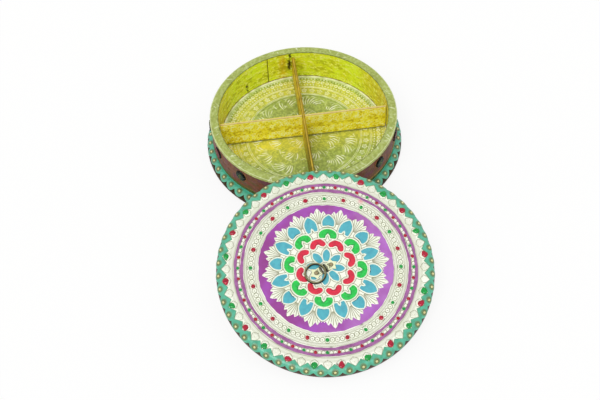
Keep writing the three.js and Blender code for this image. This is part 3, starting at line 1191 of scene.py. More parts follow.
@dataclass
class Lid:
    """The leaning lid, modelled flat with its underside at zero, and then set in place.

    Sizes are in mm, angles in degrees, and a place is measured over the surface from its centre.
    """

    surface: Rounded = Rounded(core=93.0, top=12.4, radius=6.2, sweep=180.0)
    sheet: float = 0.4
    fold_under: float = 5.0  # how far the sheet goes on under the edge
    paint: float = 0.45
    drift: tuple[float, float] = (0.45, 0.75)  # the pattern's middle, off the lid's
    place: Matrix = field(default_factory=lid_place)
    motifs: tuple[Motif, ...] = (
        Leaf("long_petals", Finishes.BLUE, None, 8, 11.0, 35.5, 50.8, 5.5, 0.42, 0.78, 1.8, (1.8, 4.0)),
        Leaf("short_petals", Finishes.BLUE, None, 8, -11.5, 39.8, 50.8, 5.5, 0.32, 0.84, 1.7, (2.6, 0.9)),
        Leaf(
            "green_crescents", Finishes.GREEN, Finishes.DEEP_GREEN, 8, -11.9, 28.2, 37.6, 8.2,
            0.35, 0.8, 1.0, (2.4, 5.0),
        ),
        Crescent("red_crescents", Finishes.RED, Finishes.DEEP_RED, 8, 11.4, 17.2, 28.0, 7.6, 2.1, 102.0),
        Leaf("centre_petals", Finishes.BLUE, None, 8, -11.0, 6.0, 17.4, 3.2, 0.52, 0.35, 1.5),
    )
    fans: int = 16
    fan_start: float = 0.4
    fan_root: float = 51.3  # radius between the feathers
    fan_height: float = 0.35
    # Angle from the fan's middle, radius of the tip and half width of each feather.
    feathers: tuple[tuple[float, float, float], ...] = ((0, 58, 3.4), (5.9, 54.9, 3.2), (9.9, 52.6, 2.2))
    feather_lines: tuple[float, ...] = (1.7, 4.6, 7.9)
    ground: float = 61.3
    # Inner and outer radius of each ring.
    purple_rings: tuple[tuple[float, float], ...] = ((80.5, 83.2), (74.8, 77.5))
    inner_ring: StoneRing = StoneRing(68.0, 8.1, 24, 4, (2.1, 1.75))
    outer_ring: StoneRing = StoneRing(79.5, 0.5, 48, 3, (1.7, 1.55))
    # Inner radius, outer radius and strands of each rope, then radius, width and darkness of lines.
    ropes: tuple[tuple[float, float, int], ...] = ((62.3, 64.4, 210), (71.6, 73.6, 240))
    band_lines: tuple[tuple[float, float], ...] = (
        (61.9, 0.5), (64.7, 0.4), (71.3, 0.4), (74.0, 0.5), (77.9, 0.4), (80.6, 0.4),
    )
    border_lines: tuple[tuple[float, float, float], ...] = (
        (83.2, 0.4, 0.35), (84.0, 0.45, 0.5), (85.1, 0.3, 0.4), (86.3, 0.35, 0.3), (87.4, 0.3, 0.2),
    )
    # Places along a border leaf, and half of its width there.
    leaf: tuple[tuple[float, ...], ...] = ((85.8, 87.0, 88.6, 91.5, 94.6), (0.0, 2.0, 3.9, 2.9, 0.0))
    stones: int = 24
    stone_start: float = 0.7
    stone_radius: float = 2.85
    stone_place: float = 91.0
    stray: int = 23  # the stone that its maker set early
    scallops: int = 48
    scallop_start: float = 4.45
    scallop_turns: tuple[float, float] = (43.0, 77.0)  # roots and tips, round the edge
    dot_place: float = 97.0
    # Angle, place and size of each stain.
    pink_stains: tuple[tuple[float, float, float], ...] = ((55.7, 74.0, 3.0), (90.7, 90.0, 2.4))
    dark_stains: tuple[tuple[float, float, float], ...] = (
        (265.7, 75.0, 1.9), (293.2, 61.0, 2.0), (268.5, 90.0, 1.6),
    )

    def build(self) -> None:
        """Makes the lid's sheet, paint, stones and dots."""
        self.add_sheets()
        self.add_ground()
        self.add_rings()
        self.add_motifs()
        self.add_border()
        self.add_stones()

    def fit(self, piece: Piece, finish: Finish, replaces: Sequence[str] = ()) -> None:
        """Dresses a piece and sets it on the leaning lid."""
        finish_piece(piece, Body.LID, finish, replaces, self.place)

    def loose(self, place: Array | float) -> Array | float:
        """How much of the drift the pattern has at a radius, for its maker began a little off centre."""
        return unit((100 - place) / 40)

    def drifted(self, place: Array, angle: Array) -> tuple[Array, Array]:
        """Sees places from the pattern's own middle.

        Args:
            place: Places in mm.
            angle: Angles in degrees.

        Returns:
            The radius and the angle of each.
        """
        turn, share = np.radians(angle), self.loose(place)
        x = place * np.cos(turn) - share * self.drift[0]
        y = place * np.sin(turn) - share * self.drift[1]
        return np.hypot(x, y), np.degrees(np.arctan2(y, x))

    def drift_at(self, place: float) -> Matrix:
        """The drift of what lies at a radius."""
        return Matrix.Translation(Vector((*self.drift, 0)) * self.loose(place) * MM)

    def outward(self, angle: Array) -> Array:
        """How far the drift reaches outwards at each angle, in mm."""
        return self.drift[0] * np.cos(np.radians(angle)) + self.drift[1] * np.sin(np.radians(angle))

    def wave(self, angle: Array, size: float, phase: float) -> Array:
        """An uneven edge, as a hand draws it.

        Args:
            angle: Angles in degrees.
            size: Its size in mm.
            phase: Which such edge it is.

        Returns:
            How far out the edge is at each angle, in mm.
        """
        turn = np.radians(angle)
        waves = ((7, 1.0), (16, 0.8), (29, 0.6), (53, 0.35))
        return size * sum(share * np.sin(count * turn + phase * count) for count, share in waves) / 2

    def fan_edge(self, angle: Array) -> Array:
        """Radius of the fans' feathered edge.

        Args:
            angle: Angles in degrees.

        Returns:
            The radius at each angle, in mm.
        """
        turn, _ = fold(angle, self.fans, self.fan_start)
        edge = np.full(angle.shape, self.fan_root)
        for middle, tip, half in self.feathers:
            edge = np.maximum(edge, tip - 4.4 * np.abs((np.abs(turn) - middle) / half) ** 1.35)
        return edge

    def scallop(self, angle: Array, power: float) -> Array:
        """Shape of the scallops.

        Args:
            angle: Angles in degrees.
            power: How round they are, 1 for a zigzag.

        Returns:
            One at the middle of each scallop, and nothing between them.
        """
        turn, _ = fold(angle, self.scallops, self.scallop_start)
        return 1 - np.abs(turn * self.scallops / 180) ** power

    def teal_from(self, angle: Array) -> Array:
        """Where the teal paint begins for each angle."""
        return 94.2 - 4.9 * self.scallop(angle, 1.0)

    def stain(self, place: Array, angle: Array, spots: Sequence[tuple[float, float, float]]) -> Array:
        """Ragged stains where the hand slipped.

        Args:
            place: Places in mm.
            angle: Angles in degrees.
            spots: Angle, place and size of each stain.

        Returns:
            How much of the stain is at each place.
        """
        ragged = 1 + 0.3 * np.sin(angle * 7.0) * np.cos(place * 2.3)
        stain = np.zeros(place.shape)
        for middle, radius, size in spots:
            turn, _ = fold(angle, 1, middle)
            stain = np.maximum(stain, unit(1.2 - apart(place, turn, radius) / (size * ragged)))
        return 0.8 * stain

    def stains(self, place: Array, angle: Array) -> dict[str, Array]:
        """The stains by the attribute that each dyes."""
        spots = {"pink": self.pink_stains, "dirt": self.dark_stains}
        return {name: self.stain(place, angle, where) for name, where in spots.items()}

    def medallion_relief(self, place: Array, angle: Array) -> Pressed:
        """Rims of the painted forms, nubs and feathers, with tarnish in their lines.

        Args:
            place: Places in mm.
            angle: Angles in degrees.

        Returns:
            Heights in mm, and attributes.
        """
        stains = self.stains(place, angle)
        place, angle = self.drifted(place, angle)
        edge = self.fan_edge(angle)
        height = self.fan_height * unit((edge - place) / 0.5)
        turn, _ = fold(angle, self.fans, self.fan_start)
        ink = np.zeros(place.shape)
        spread = np.clip((place - 40) / 16, 0, 1.2)
        for tip in self.feather_lines:
            line = np.radians(np.abs(turn) - tip * spread) * place
            ink = np.maximum(ink, ridge(line, 0.3 + 0.2 * spread) * (place > 42.5) * (place < edge - 0.8))
        rim = np.zeros(place.shape)
        for motif in reversed(self.motifs):
            depth = motif.depth(place, angle)
            ink = np.where(depth > -1.5, 0, ink)
            ink = np.maximum(ink, ridge(depth + 1.5, 0.44))
            rim = np.where(depth > -0.25, 0, np.maximum(rim, ridge(depth + 0.6, 0.7)))
            height = np.where(depth > 0, 0.1, height)
        return height + 0.5 * rim - 0.12 * ink, {"ink": ink * (1 - rim), **stains}

    def band_relief(self, place: Array, angle: Array) -> Pressed:
        """Eyes and stones' collars between two ropes, and beads and collars outside them.

        Args:
            place: Places in mm.
            angle: Angles in degrees.

        Returns:
            Heights in mm, and attributes.
        """
        stains = self.stains(place, angle)
        place, angle = self.drifted(place, angle)
        away, stone = self.inner_ring.around(place, angle)
        height = 0.45 * np.where(stone, ridge(away - 2.5, 0.6), ridge(away - 1.35, 0.55))
        ink = np.where(stone, 0.9 * ridge(away - 3.1, 0.42), ridge(away - 2.15, 0.44) + ridge(away, 0.8))
        away, stone = self.outer_ring.around(place, angle)
        height = height + 0.45 * np.where(stone, ridge(away - 1.75, 0.4), ridge(away - 1.0, 0.45))
        ink = ink + 0.9 * ridge(away - 1.68, 0.38) * ~stone + 0.5 * ridge(away, 0.5)
        for inner, outer, strands in self.ropes:
            twist = rope(place, angle, inner, outer, strands)
            height = height + 0.35 * twist
            ink = ink + 0.4 * (1 - twist) * (place > inner) * (place < outer)
        for line, width in self.band_lines:
            ink = ink + 0.75 * ridge(place - line, width)
        return height, {"ink": ink, **stains}

    def border_relief(self, place: Array, angle: Array) -> Pressed:
        """The plain band, the leaves that point in from the border, and the edge.

        Args:
            place: Places in mm.
            angle: Angles in degrees.

        Returns:
            Heights in mm, and attributes.
        """
        turn, copy = fold(angle, self.scallops, self.stone_start)
        side = np.abs(np.radians(turn)) * place
        half = np.interp(place, *self.leaf)
        depth = np.where(half > 0, (half - side) / 1.6, -1)
        leaf = unit(depth)
        veins = np.cos(side * 3.2 + (place - 86) * 0.9) ** 2
        stone = copy % 2 == 0
        height = 0.4 * np.sqrt(leaf) * np.where(stone, 1.0, 0.65 + 0.35 * veins)
        ink = 0.9 * ridge(depth, 0.3) * (half > 0) + np.where(stone, 0, 0.35 * (1 - veins) ** 2 * leaf)
        for line, width, dark in self.border_lines:
            height = height + 0.2 * ridge(place - line - 0.5, width)
            ink = ink + dark * ridge(place - line, width)
        ink = ink + 0.16 * unit((88.4 - place) / 0.8) * (1 - leaf)
        edge = (place - self.surface.along(30)) / 0.6
        return height, {"ink": ink, **self.stains(place, angle), "edge": edge}

    def teal_relief(self, place: Array, angle: Array) -> Pressed:
        """A dull ring of paint round each gold dot, and a thin edge by the leaves.

        Args:
            place: Places in mm.
            angle: Angles in degrees.

        Returns:
            Heights in mm, and attributes.
        """
        turn, _ = fold(angle, self.scallops, self.scallop_start)
        edge = unit(1 - (place - self.teal_from(angle)) / 0.9)
        halo = dot_halo(place, turn, self.dot_place)
        return 0.1 * ridge(apart(place, turn, self.dot_place) - 3.3, 0.7), {"ink": halo + 0.6 * edge}

    def ground_relief(self, place: Array, angle: Array) -> Pressed:
        """Brush marks in the purple paint, which is deeper on one side and thinner on the other.

        Args:
            place: Places in mm.
            angle: Angles in degrees.

        Returns:
            Heights in mm, and attributes.
        """
        side = np.cos(np.radians(angle - 165))
        blotch = mottle(angle, place, (6.0, 5.0), 18, 60)
        deep, pale = unit(side + 0.5 * blotch), unit(0.4 * blotch - side)
        return 0.06 * blotch, {"deep": 0.5 * deep, "pale": 0.5 * pale}

    def add_sheets(self) -> None:
        """Adds the white metal sheet, in rings from the middle out over the edge."""
        end = self.surface.core + math.pi * self.surface.radius + self.fold_under
        rings = (
            ("lid_sheet_heart", 660, 100, 0.0, 30.0, self.medallion_relief, []),
            ("lid_sheet_petals", 1200, 60, 30.0, 47.0, self.medallion_relief, ["lid_sheet"]),
            ("lid_sheet_fans", 1440, 54, 47.0, 61.6, self.medallion_relief, []),
            ("lid_sheet_eyes", 1440, 62, 61.6, 82.8, self.band_relief, []),
            ("lid_sheet_edge", 1080, 66, 82.8, end, self.border_relief, []),
        )
        for name, columns, steps, inner, outer, relief, replaces in rings:
            rows = sheet_rows(steps, self.sheet)
            made = shell(name, columns, rows, self.surface, fixed(inner, outer), relief)
            self.fit(made, Finishes.WHITE_FOIL, replaces)

    def add_ground(self) -> None:
        """Adds the purple ground round the fans."""

        def span(angle: Array) -> tuple[Array, Array]:
            """Finds the ground, from the fans' edge out to a wavering one.

            Args:
                angle: Angles in degrees.

            Returns:
                Its inner and outer place at each angle.
            """
            seen = angle - np.degrees(self.outward(angle + 90) / 55)
            inner = self.fan_edge(seen) + self.outward(angle) + 0.2
            return inner, self.ground + 0.7 * self.outward(angle) + self.wave(angle, 0.55, 0.4)

        rows = paint_rows(6, self.paint)
        ground = shell("lid_ground", 1440, rows, self.surface, span, self.ground_relief)
        self.fit(ground, Finishes.PURPLE, ["lid_ground_enamel"])

    def ring_span(self, number: int) -> Span:
        """Finds where a purple ring lies.

        Args:
            number: Number of the ring.

        Returns:
            Its span, both of whose edges waver.
        """

        def span(angle: Array) -> tuple[Array, Array]:
            """The ring's inner and outer edge."""
            inner, outer = (radius + 0.5 * self.outward(angle) for radius in self.purple_rings[number])
            return inner + self.wave(angle, 0.45, 1.1 + number), outer + self.wave(angle, 0.45, 2.3 + number)

        return span

    def add_rings(self) -> None:
        """Adds the purple rings."""
        rows, numbers = paint_rows(3, self.paint, 0.35), range(len(self.purple_rings))
        made = [shell("purple_ring", 720, rows, self.surface, self.ring_span(i)) for i in numbers]
        self.fit(join("lid_purple_rings", made), Finishes.FINE_PURPLE)

    def add_motifs(self) -> None:
        """Adds the medallion's painted forms, some with a darker stroke on them."""
        top = self.surface.top - 0.1 + self.paint
        for motif in self.motifs:
            form = patch(motif.name, motif.outline(), top - self.paint, self.paint)
            places = [self.drift_at(0) @ place for place in motif.places()]
            if motif.shading:
                line = motif.shade()
                half = 0.42 * np.sin(np.linspace(0.35, math.pi - 0.35, len(line)))
                stroke = patch("stroke", ribbon(line, half), top - 0.05, 0.12)
                self.fit(copies(f"lid_{motif.name}_shading", stroke, places), motif.shading)
            self.fit(copies(f"lid_{motif.name}", form, places), motif.paint)

    def add_border(self) -> None:
        """Adds the teal scallops over the edge, with a gold dot in each."""
        root, tip = (self.surface.along(degrees) for degrees in self.scallop_turns)

        def span(angle: Array) -> tuple[Array, Array]:
            """From the leaves out to the scallops' edge."""
            return self.teal_from(angle), root + (tip - root) * self.scallop(angle, 1.8)

        teal = shell("lid_scallops", 1152, paint_rows(16, 0.5), self.surface, span, self.teal_relief)
        self.fit(teal, Finishes.TEAL, ["lid_edge_enamel"])
        step = 360 / self.scallops
        angles = [self.scallop_start + i * step for i in range(self.scallops)]
        places = [seat(self.surface, self.dot_place, angle, 0.45) for angle in angles]
        self.fit(copies("lid_gold_dots", gold_dot(), places), Finishes.GOLD_DOT)

    def add_stones(self) -> None:
        """Adds the border stones and the two rings of small ones, red and green in turn."""
        step = 360 / self.stones
        early = [360 / self.scallops if i == self.stray else 0 for i in range(self.stones)]
        angles = [self.stone_start + i * step - early[i] for i in range(self.stones)]
        for parity, glass in enumerate((Finishes.RED_GLASS, Finishes.GREEN_GLASS)):
            gem = draw_out(cut_stone("gem", self.stone_radius, 1.5), 0.32)
            places = [self.set_stone(self.stone_place, angle, 1.0) for angle in angles[parity::2]]
            nodes = [f"lid_stone_{i + 1:02d}" for i in range(parity, self.stones, 2)]
            self.fit(copies(f"lid_border_{glass.slot}s", gem, places), glass, nodes)
            small = cut_stone("small_gem", 1.0, 1.1, 6)
            places = [
                self.set_stone(ring.place, ring.start + 360 / ring.stones * i, ring.sizes[parity])
                for ring in (self.inner_ring, self.outer_ring)
                for i in range(parity, ring.stones, 2)
            ]
            self.fit(copies(f"lid_small_{glass.slot}s", small, places), glass)

    def set_stone(self, place: float, angle: float, size: float) -> Matrix:
        """Finds where a stone goes, turned and sized a little unevenly.

        Args:
            place: Its place in mm.
            angle: Its angle in degrees.
            size: How much larger it is than its pattern.

        Returns:
            The matrix that takes it there.
        """
        rng = np.random.default_rng(SEED + int(angle * 10 + place * 37) % 9973)
        turn = Matrix.Rotation(rng.uniform(0, math.pi), 4, "Z")
        stretch = Matrix.Diagonal((*(size * rng.uniform(0.9, 1.12, 2)), 1.0, 1.0))
        place += rng.uniform(-0.25, 0.25)
        return self.drift_at(place) @ seat(self.surface, place, angle, 0.1) @ turn @ stretch


@dataclass
class RingPull:
    """The ring pull: an arched strap with star ends, two nails and the ring that hangs in the arch.

    Sizes are in mm, from the arch's middle, and angles in degrees.
    """

    place: tuple[float, float, float] = (-1.9, -1.2, 13.2)
    turn: float = 204.0
    wire: float = 1.05
    ring: float = 9.1
    ring_out: float = 8.7425  # from the arch's middle to the ring's
    ring_up: float = 1.507
    droop: float = 2.26  # how far the ring lies over
    arch: float = 1.507
    strap: float = 0.7
    width: float = 8.4
    spread: float = 7.907  # place of the stars' middles
    star: float = 6.0
    notch: float = 0.62  # how far a star reaches between its tips
    nail_head: float = 1.9

    def build(self, lid: Matrix) -> None:
        """Makes the strap, its nails and the ring.

        Args:
            lid: Where the lid's own frame goes.
        """
        here = lid @ Matrix.Translation(Vector(self.place) * MM) @ turned(self.turn)
        finish_piece(self.make_strap(), Body.LID, Finishes.BRASS, ["pull_plate"], here)
        finish_piece(self.make_nails(), Body.LID, Finishes.NAIL, ["pull_nail_01", "pull_nail_02"], here)
        hung = here @ (moved(0, 0, self.ring_up) @ turned(self.droop, "Y")) @ moved(self.ring_out, 0, 0)
        finish_piece(self.make_ring(), Body.RING, Finishes.RING_BRASS, ["pull_ring"], hung)

    def make_ring(self) -> Piece:
        """Makes the ring, with painted shade on one side of its wire and beneath it.

        Returns:
            The piece.
        """
        bpy.ops.mesh.primitive_torus_add(
            major_radius=self.ring * MM, minor_radius=self.wire * MM, major_segments=72, minor_segments=16
        )
        ring = started("lid_ring")
        x, y, z = points_of(ring).T / MM
        out = np.hypot(x, y)
        away = (out - self.ring) / self.wire * (0.17 * x + 0.98 * y) / out
        # Painted shade on one side of the wire and on its underside.
        dye(ring, ink=np.maximum(0.42 + 1.8 * away, 1.0 - 1.5 * z / self.wire))
        tidy_mesh(ring)
        return ring

    def make_strap(self) -> Piece:
        """Makes the strap: the arch, two necks and two stars.

        Returns:
            The piece.
        """
        parts = [self.make_arch()]
        for side in (-1, 1):
            parts += [self.make_neck(side), self.make_star(side)]
        strap = join("lid_pull_strap", parts)
        tidy_mesh(strap, 35)
        return strap

    def make_arch(self) -> Piece:
        """Makes the arch, spun from its section and ribbed, with painted shade and painted dark reflections
        on both sides of a bright band near its top.

        Returns:
            The piece.
        """
        bpy.ops.mesh.primitive_plane_add(size=1.0)
        arch = started("arch")
        flat = points_of(arch)
        x = (self.arch + (flat[:, 0] + 0.5) * self.strap) * MM
        move_points(arch, np.column_stack([x, flat[:, 1] * self.width * MM, flat[:, 2]]))
        with editing(arch):
            bpy.ops.mesh.subdivide(number_cuts=5)
            bpy.ops.mesh.spin(steps=36, angle=-math.pi, center=(0, 0, 0), axis=(0, 1, 0))
        points = points_of(arch)
        ribs = 1 + 0.07 * np.cos(points[:, 1] / MM * math.pi / 1.6)
        move_points(arch, points * np.column_stack([ribs, np.ones_like(ribs), ribs]))
        across = points[:, 0] / ((self.arch + self.strap) * MM)
        # Painted shade and painted dark reflections on the arch's sides, round a bright band near its top.
        dye(arch, ink=np.interp(across, (-1.0, -0.64, -0.54, -0.04, 0.06), (1, 1, 0, 0, 1)))
        return arch

    def make_neck(self, side: int) -> Piece:
        """Makes the neck between the arch and a star.

        Args:
            side: Which one, -1 or 1.

        Returns:
            The piece.
        """
        bpy.ops.mesh.primitive_cube_add(size=1.0)
        neck = started("neck")
        flat = points_of(neck)
        share = flat[:, 0] + 0.5
        x = side * (self.arch + 0.3 + share * (self.spread - self.arch - 0.3))
        y = flat[:, 1] * self.width * (1 - 0.45 * share)
        z = (flat[:, 2] + 0.5) * self.strap
        move_points(neck, np.column_stack([x, y, z]) * MM)
        # Painted shade at each neck's root, by the arch.
        dye(neck, ink=1.8 - 3.0 * share if side > 0 else 1.5 - 5.0 * share)
        return neck

    def make_star(self, side: int) -> Piece:
        """Makes a star end with a dished middle.

        Args:
            side: Which one, -1 or 1.

        Returns:
            The piece.
        """
        count = 10
        bpy.ops.mesh.primitive_circle_add(vertices=count, radius=1.0, fill_type="NGON")
        star = started("star")
        turn = np.arange(count) * 2 * math.pi / count + (0 if side > 0 else math.pi)
        size = np.where(np.arange(count) % 2, self.star * self.notch, self.star)
        outline = np.column_stack([size * np.cos(turn) + side * self.spread, size * np.sin(turn), turn * 0])
        move_points(star, outline * MM)
        with editing(star):
            bpy.ops.mesh.extrude_region_move(TRANSFORM_OT_translate={"value": (0, 0, self.strap * 0.8 * MM)})
            bpy.ops.mesh.inset(thickness=0.35 * MM, depth=self.strap * 0.35 * MM)
            bpy.ops.mesh.inset(thickness=0.7 * MM, depth=-self.strap * 0.15 * MM)
        # Painted shade on the star's lower edges, darkening its outline.
        dye(star, ink=points_of(star)[:, 2] < 0.1 * MM)
        return star

    def make_nails(self) -> Piece:
        """Makes the two nail heads, hammered a little flat.

        Returns:
            The piece.
        """
        heads = []
        for side in (-1, 1):
            bpy.ops.mesh.primitive_uv_sphere_add(segments=20, ring_count=12, radius=self.nail_head * MM)
            head = started("nail")
            points = points_of(head) * (1, 1, 0.5)
            points[:, 2] = np.minimum(points[:, 2], 0.75 * MM)
            move_points(head, points + np.array([side * self.spread, 0, 1.0]) * MM)
            reach = np.hypot(points[:, 0], points[:, 1]) / (self.nail_head * MM)
            # Painted shade, half dark in the middle and dark at the rim, round a ring left bright as a
            # painted highlight.
            dye(head, ink=np.interp(reach, (0.0, 0.3, 0.75, 1.0), (0.5, 0.0, 0.3, 1.0)))
            heads.append(head)
        nails = join("lid_pull_nails", heads)
        tidy_mesh(nails)
        return nails


# The box.


@dataclass(frozen=True)
class FloorFans:
    """A ring of fans pressed in the floor.

    Args:
        count: How many go round.
        start: Angle of the first one in degrees.
        foot: Radius of their feet in mm.
        reach: How far their strokes reach in mm.
        rays: How many strokes a full turn would have.
    """

    count: int
    start: float
    foot: float
    reach: float
    rays: int

    def pressed(self, place: Array, angle: Array) -> Array:
        """Long strokes that spread from the foot of each fan, under an arc.

        Args:
            place: Places in mm.
            angle: Angles in degrees.

        Returns:
            Their height from 0 to 1.
        """
        turn, _ = fold(angle, self.count, self.start)
        x = place * np.cos(np.radians(turn)) - self.foot
        y = place * np.sin(np.radians(turn))
        away, about = np.hypot(x, y), np.degrees(np.arctan2(y, x))
        ray, _ = fold(about + 2.4 * away, self.rays, 0.0)
        long = ridge((away - self.reach * 0.72) / (self.reach * 0.36), 1.0) ** 0.5
        stroke = ridge(np.radians(ray) * away, 0.85) * long * (np.abs(about) < 50)
        arc = ridge(away - self.reach - 1.4, 0.7) * (np.abs(about) < 84)
        worn = unit(0.7 + 1.2 * mottle(angle, place, (4.0, 7.0), 15, 90))
        return unit(stroke + 0.3 * arc) * worn


@dataclass
class Box:
    """The round box: foot, wall, rim, lining, floor and the stones in its wall.

    Sizes are in mm, and angles in degrees.
    """

    sheet: float = 0.4
    foot: Rounded = Rounded(core=93.1, top=12.2, radius=6.1, sweep=180.0)
    foot_inner: float = 93.0
    foot_fold: float = 5.0
    foot_scallops: int = 49
    foot_turns: tuple[float, float] = (33.0, 82.0)  # the scallops' roots and tips, round the foot
    # Numbers of some scallops and their angles, for they aren't spaced evenly.
    foot_spacing: tuple[tuple[int, float], ...] = (
        (0, 184.5), (5, 220.9), (17, 311.9), (23, 356.3), (49, 544.5),
    )
    dot_place: float = 95.7
    wall_radius: float = 92.7
    wall_low: float = 13.0
    wall_high: float = 43.8
    gold_line: float = 20.4
    rim: Rounded = Rounded(core=92.7, top=46.3, radius=0.8, sweep=90.0)
    rim_inner: float = 84.9
    rim_drop: float = 1.9  # how far the strip hangs down outside
    rim_dashes: int = 44
    lining_radius: float = 84.9
    lining_low: float = 12.7
    lining_high: float = 45.6
    lining_lines: tuple[float, float] = (41.5, 18.0)
    seam: float = 108.8
    # Angle, height and size of holes and gaps, painted dark as their shade, then angle and half width of the
    # painted amber shade by the dividers.
    dark_spots: tuple[tuple[float, float, float], ...] = (
        (92.0, 42.5, 1.4), (92.6, 32.0, 2.2), (92.9, 27.0, 1.6), (127.2, 21.5, 1.5), (126.8, 15.0, 0.8),
    )
    amber_places: tuple[tuple[float, float], ...] = ((180.0, 33.0), (-3.0, 40.0), (97.5, 3.5))
    floor_top: float = 12.0
    floor_radius: float = 84.6
    floor_lines: tuple[float, ...] = (69.1, 67.7, 58.9, 57.5, 81.8)
    # Number, radius, size and width of line of each ring of beads.
    floor_beads: tuple[tuple[int, float, float, float], ...] = (
        (96, 76.2, 1.5, 0.9), (140, 71.8, 0.0, 1.2), (150, 80.2, 0.0, 1.2),
    )
    floor_fans: tuple[FloorFans, ...] = (
        FloorFans(11, 9.0, 37.0, 16.5, 26),
        FloorFans(7, 31.0, 21.0, 14.0, 22),
        FloorFans(5, 12.0, 4.0, 12.5, 20),
    )
    stones: int = 15
    stone_middle: float = 268.6
    stone_pitch: float = 23.4
    stone_height: float = 34.0
    stone_radius: float = 6.2

    def build(self) -> None:
        """Makes every piece of the box."""
        self.add_foot()
        self.add_wall()
        self.add_wall_stones()
        self.add_rim()
        self.add_lining()
        self.add_floor()

    def foot_relief(self, place: Array, angle: Array) -> Pressed:
        """Crumpled foil."""
        return 0.12 * mottle(angle, place, (1.0, 1.2), 1, 360), {}

    def foot_share(self, angle: Array) -> Array:
        """Finds the foot's scallops, which aren't spaced evenly.

        Args:
            angle: Angles in degrees.

        Returns:
            How far each is from the middle of its scallop, as a share of the scallop's width.
        """
        numbers, angles = np.array(self.foot_spacing).T
        along = np.interp((angle - angles[0]) % 360 + angles[0], angles, numbers)
        return along - np.round(along)

    def foot_span(self, angle: Array) -> tuple[Array, Array]:
        """From the wall down to the scalloped lower edge.

        Args:
            angle: Angles in degrees.

        Returns:
            The inner and the outer place of the teal paint.
        """
        low, tip = (self.foot.along(degrees) for degrees in self.foot_turns)
        arch = 1 - np.abs(2 * self.foot_share(angle)) ** 1.9
        uneven = 0.8 + 0.25 * mottle(angle, angle * 0, (7.0, 9.0), 12)
        return angle * 0 + self.foot_inner - 0.8, low + (tip - low) * arch * uneven

    def foot_paint_relief(self, place: Array, angle: Array) -> Pressed:
        """A dull ring of paint round each gold dot."""
        turn = self.foot_share(angle) * 360 / self.foot_scallops
        return place * 0, {"ink": dot_halo(place, turn, self.dot_place)}

    def add_foot(self) -> None:
        """Adds the maroon foil of the foot, its teal scallops and their gold dots."""
        end = self.foot.core + math.pi * self.foot.radius + self.foot_fold
        rows = sheet_rows(36, self.sheet)
        skin = shell("foot_foil", 640, rows, self.foot, fixed(self.foot_inner, end), self.foot_relief)
        finish_piece(skin, Body.BOX, Finishes.MAROON, ["foot_sheet"])
        rows = paint_rows(14, 0.5)
        teal = shell("foot_scallops", 1176, rows, self.foot, self.foot_span, self.foot_paint_relief)
        finish_piece(teal, Body.BOX, Finishes.TEAL, ["foot_enamel"])
        angles = np.interp(np.arange(self.foot_scallops), *np.array(self.foot_spacing).T)
        places = [seat(self.foot, self.dot_place, float(angle), 0.45) for angle in angles]
        finish_piece(copies("foot_gold_dots", gold_dot(), places), Body.BOX, Finishes.GOLD_DOT)

    def wall_relief(self, place: Array, angle: Array) -> Pressed:
        """Pressed foil under patchy lacquer, with a gold line, a green band and the stones' settings.

        Args:
            place: Heights in mm.
            angle: Angles in degrees.

        Returns:
            Heights of the relief in mm, and attributes.
        """
        blotch = mottle(angle, place, (4.0, 5.0), 2, 90)
        other = mottle(angle, place, (6.0, 4.0), 3, 60)
        index = (angle - self.stone_middle) / self.stone_pitch
        turn = (index - np.round(index)) * self.stone_pitch
        away = np.hypot(place - self.stone_height, np.radians(turn) * self.wall_radius)
        collar = ridge(away - self.stone_radius - 0.5, 0.9) * (np.abs(index) < self.stones / 2)
        band = unit((19.6 - place) / 0.5)
        turn, _ = fold(angle, 72, 0.0)
        spot = unit(2.0 - np.hypot(place - 17.6, np.radians(turn) * self.wall_radius)) * band
        worn = np.clip(0.5 + 0.55 * np.cos(np.radians(angle - 330)), 0.1, 1)
        line = ridge(place - self.gold_line, 0.8) * unit(worn + mottle(angle, place, (9.0, 9.0), 13, 40))
        height = 0.18 * mottle(angle, place, (1.0, 1.5), 4, 360) + 0.4 * collar + 0.3 * line
        return height, {
            "violet": unit(blotch * 1.6) * 0.65,
            "rust": unit(-blotch * 1.5 - 0.2) * 0.8,
            "olive": unit(other * 1.8 - 0.6) * 0.7,
            "band": band,
            "spot": spot * worn,
            "gold": line * worn + 0.2 * collar,
            "teal": (15.6 - place) / 0.4,
        }

    def add_wall(self) -> None:
        """Adds the lacquered foil round the wall."""
        rows, span = sheet_rows(56, self.sheet), fixed(self.wall_low, self.wall_high)
        wall = shell("wall_foil", 900, rows, Upright(self.wall_radius), span, self.wall_relief)
        finish_piece(wall, Body.BOX, Finishes.PLUM, ["wall_sheet"])

    def add_wall_stones(self) -> None:
        """Adds the big round stones of the wall, dark green and dark red in turn."""
        wall = Upright(self.wall_radius)
        middle = (self.stones - 1) // 2
        for parity, glass in enumerate((Finishes.DARK_GREEN_GLASS, Finishes.DARK_RED_GLASS)):
            dome = Rounded(core=self.stone_radius - 2.2, top=1.7, radius=2.2, sweep=80.0)
            span = fixed(0.0, dome.along(dome.sweep))
            gem = shell("wall_gem", 30, sheet_rows(16, 0.6), dome, span, self.squiggle)
            numbers = [i for i in range(self.stones) if (i - middle) % 2 == parity]
            angles = [self.stone_middle + (i - middle) * self.stone_pitch for i in numbers]
            places = [seat(wall, self.stone_height, angle, 0.2) for angle in angles]
            nodes = [f"wall_stone_{i + 1:02d}" for i in numbers]
            finish_piece(copies(f"wall_{glass.slot}s", gem, places), Body.BOX, glass, nodes)

    def squiggle(self, place: Array, angle: Array) -> Pressed:
        """A raised gold squiggle across a stone.

        Args:
            place: Places in mm.
            angle: Angles in degrees.

        Returns:
            Heights in mm, and attributes.
        """
        x, y = place * np.cos(np.radians(angle)), place * np.sin(np.radians(angle))
        line = ridge(y - 1.1 * np.sin(x * 1.9), 0.9) * (np.abs(x) < 3.4)
        facets = 0.25 * np.cos(np.radians(angle * 10)) * unit(place / 5)
        return facets + 0.3 * line, {"gold": line, "rim": (place - 4.6) / 0.8}

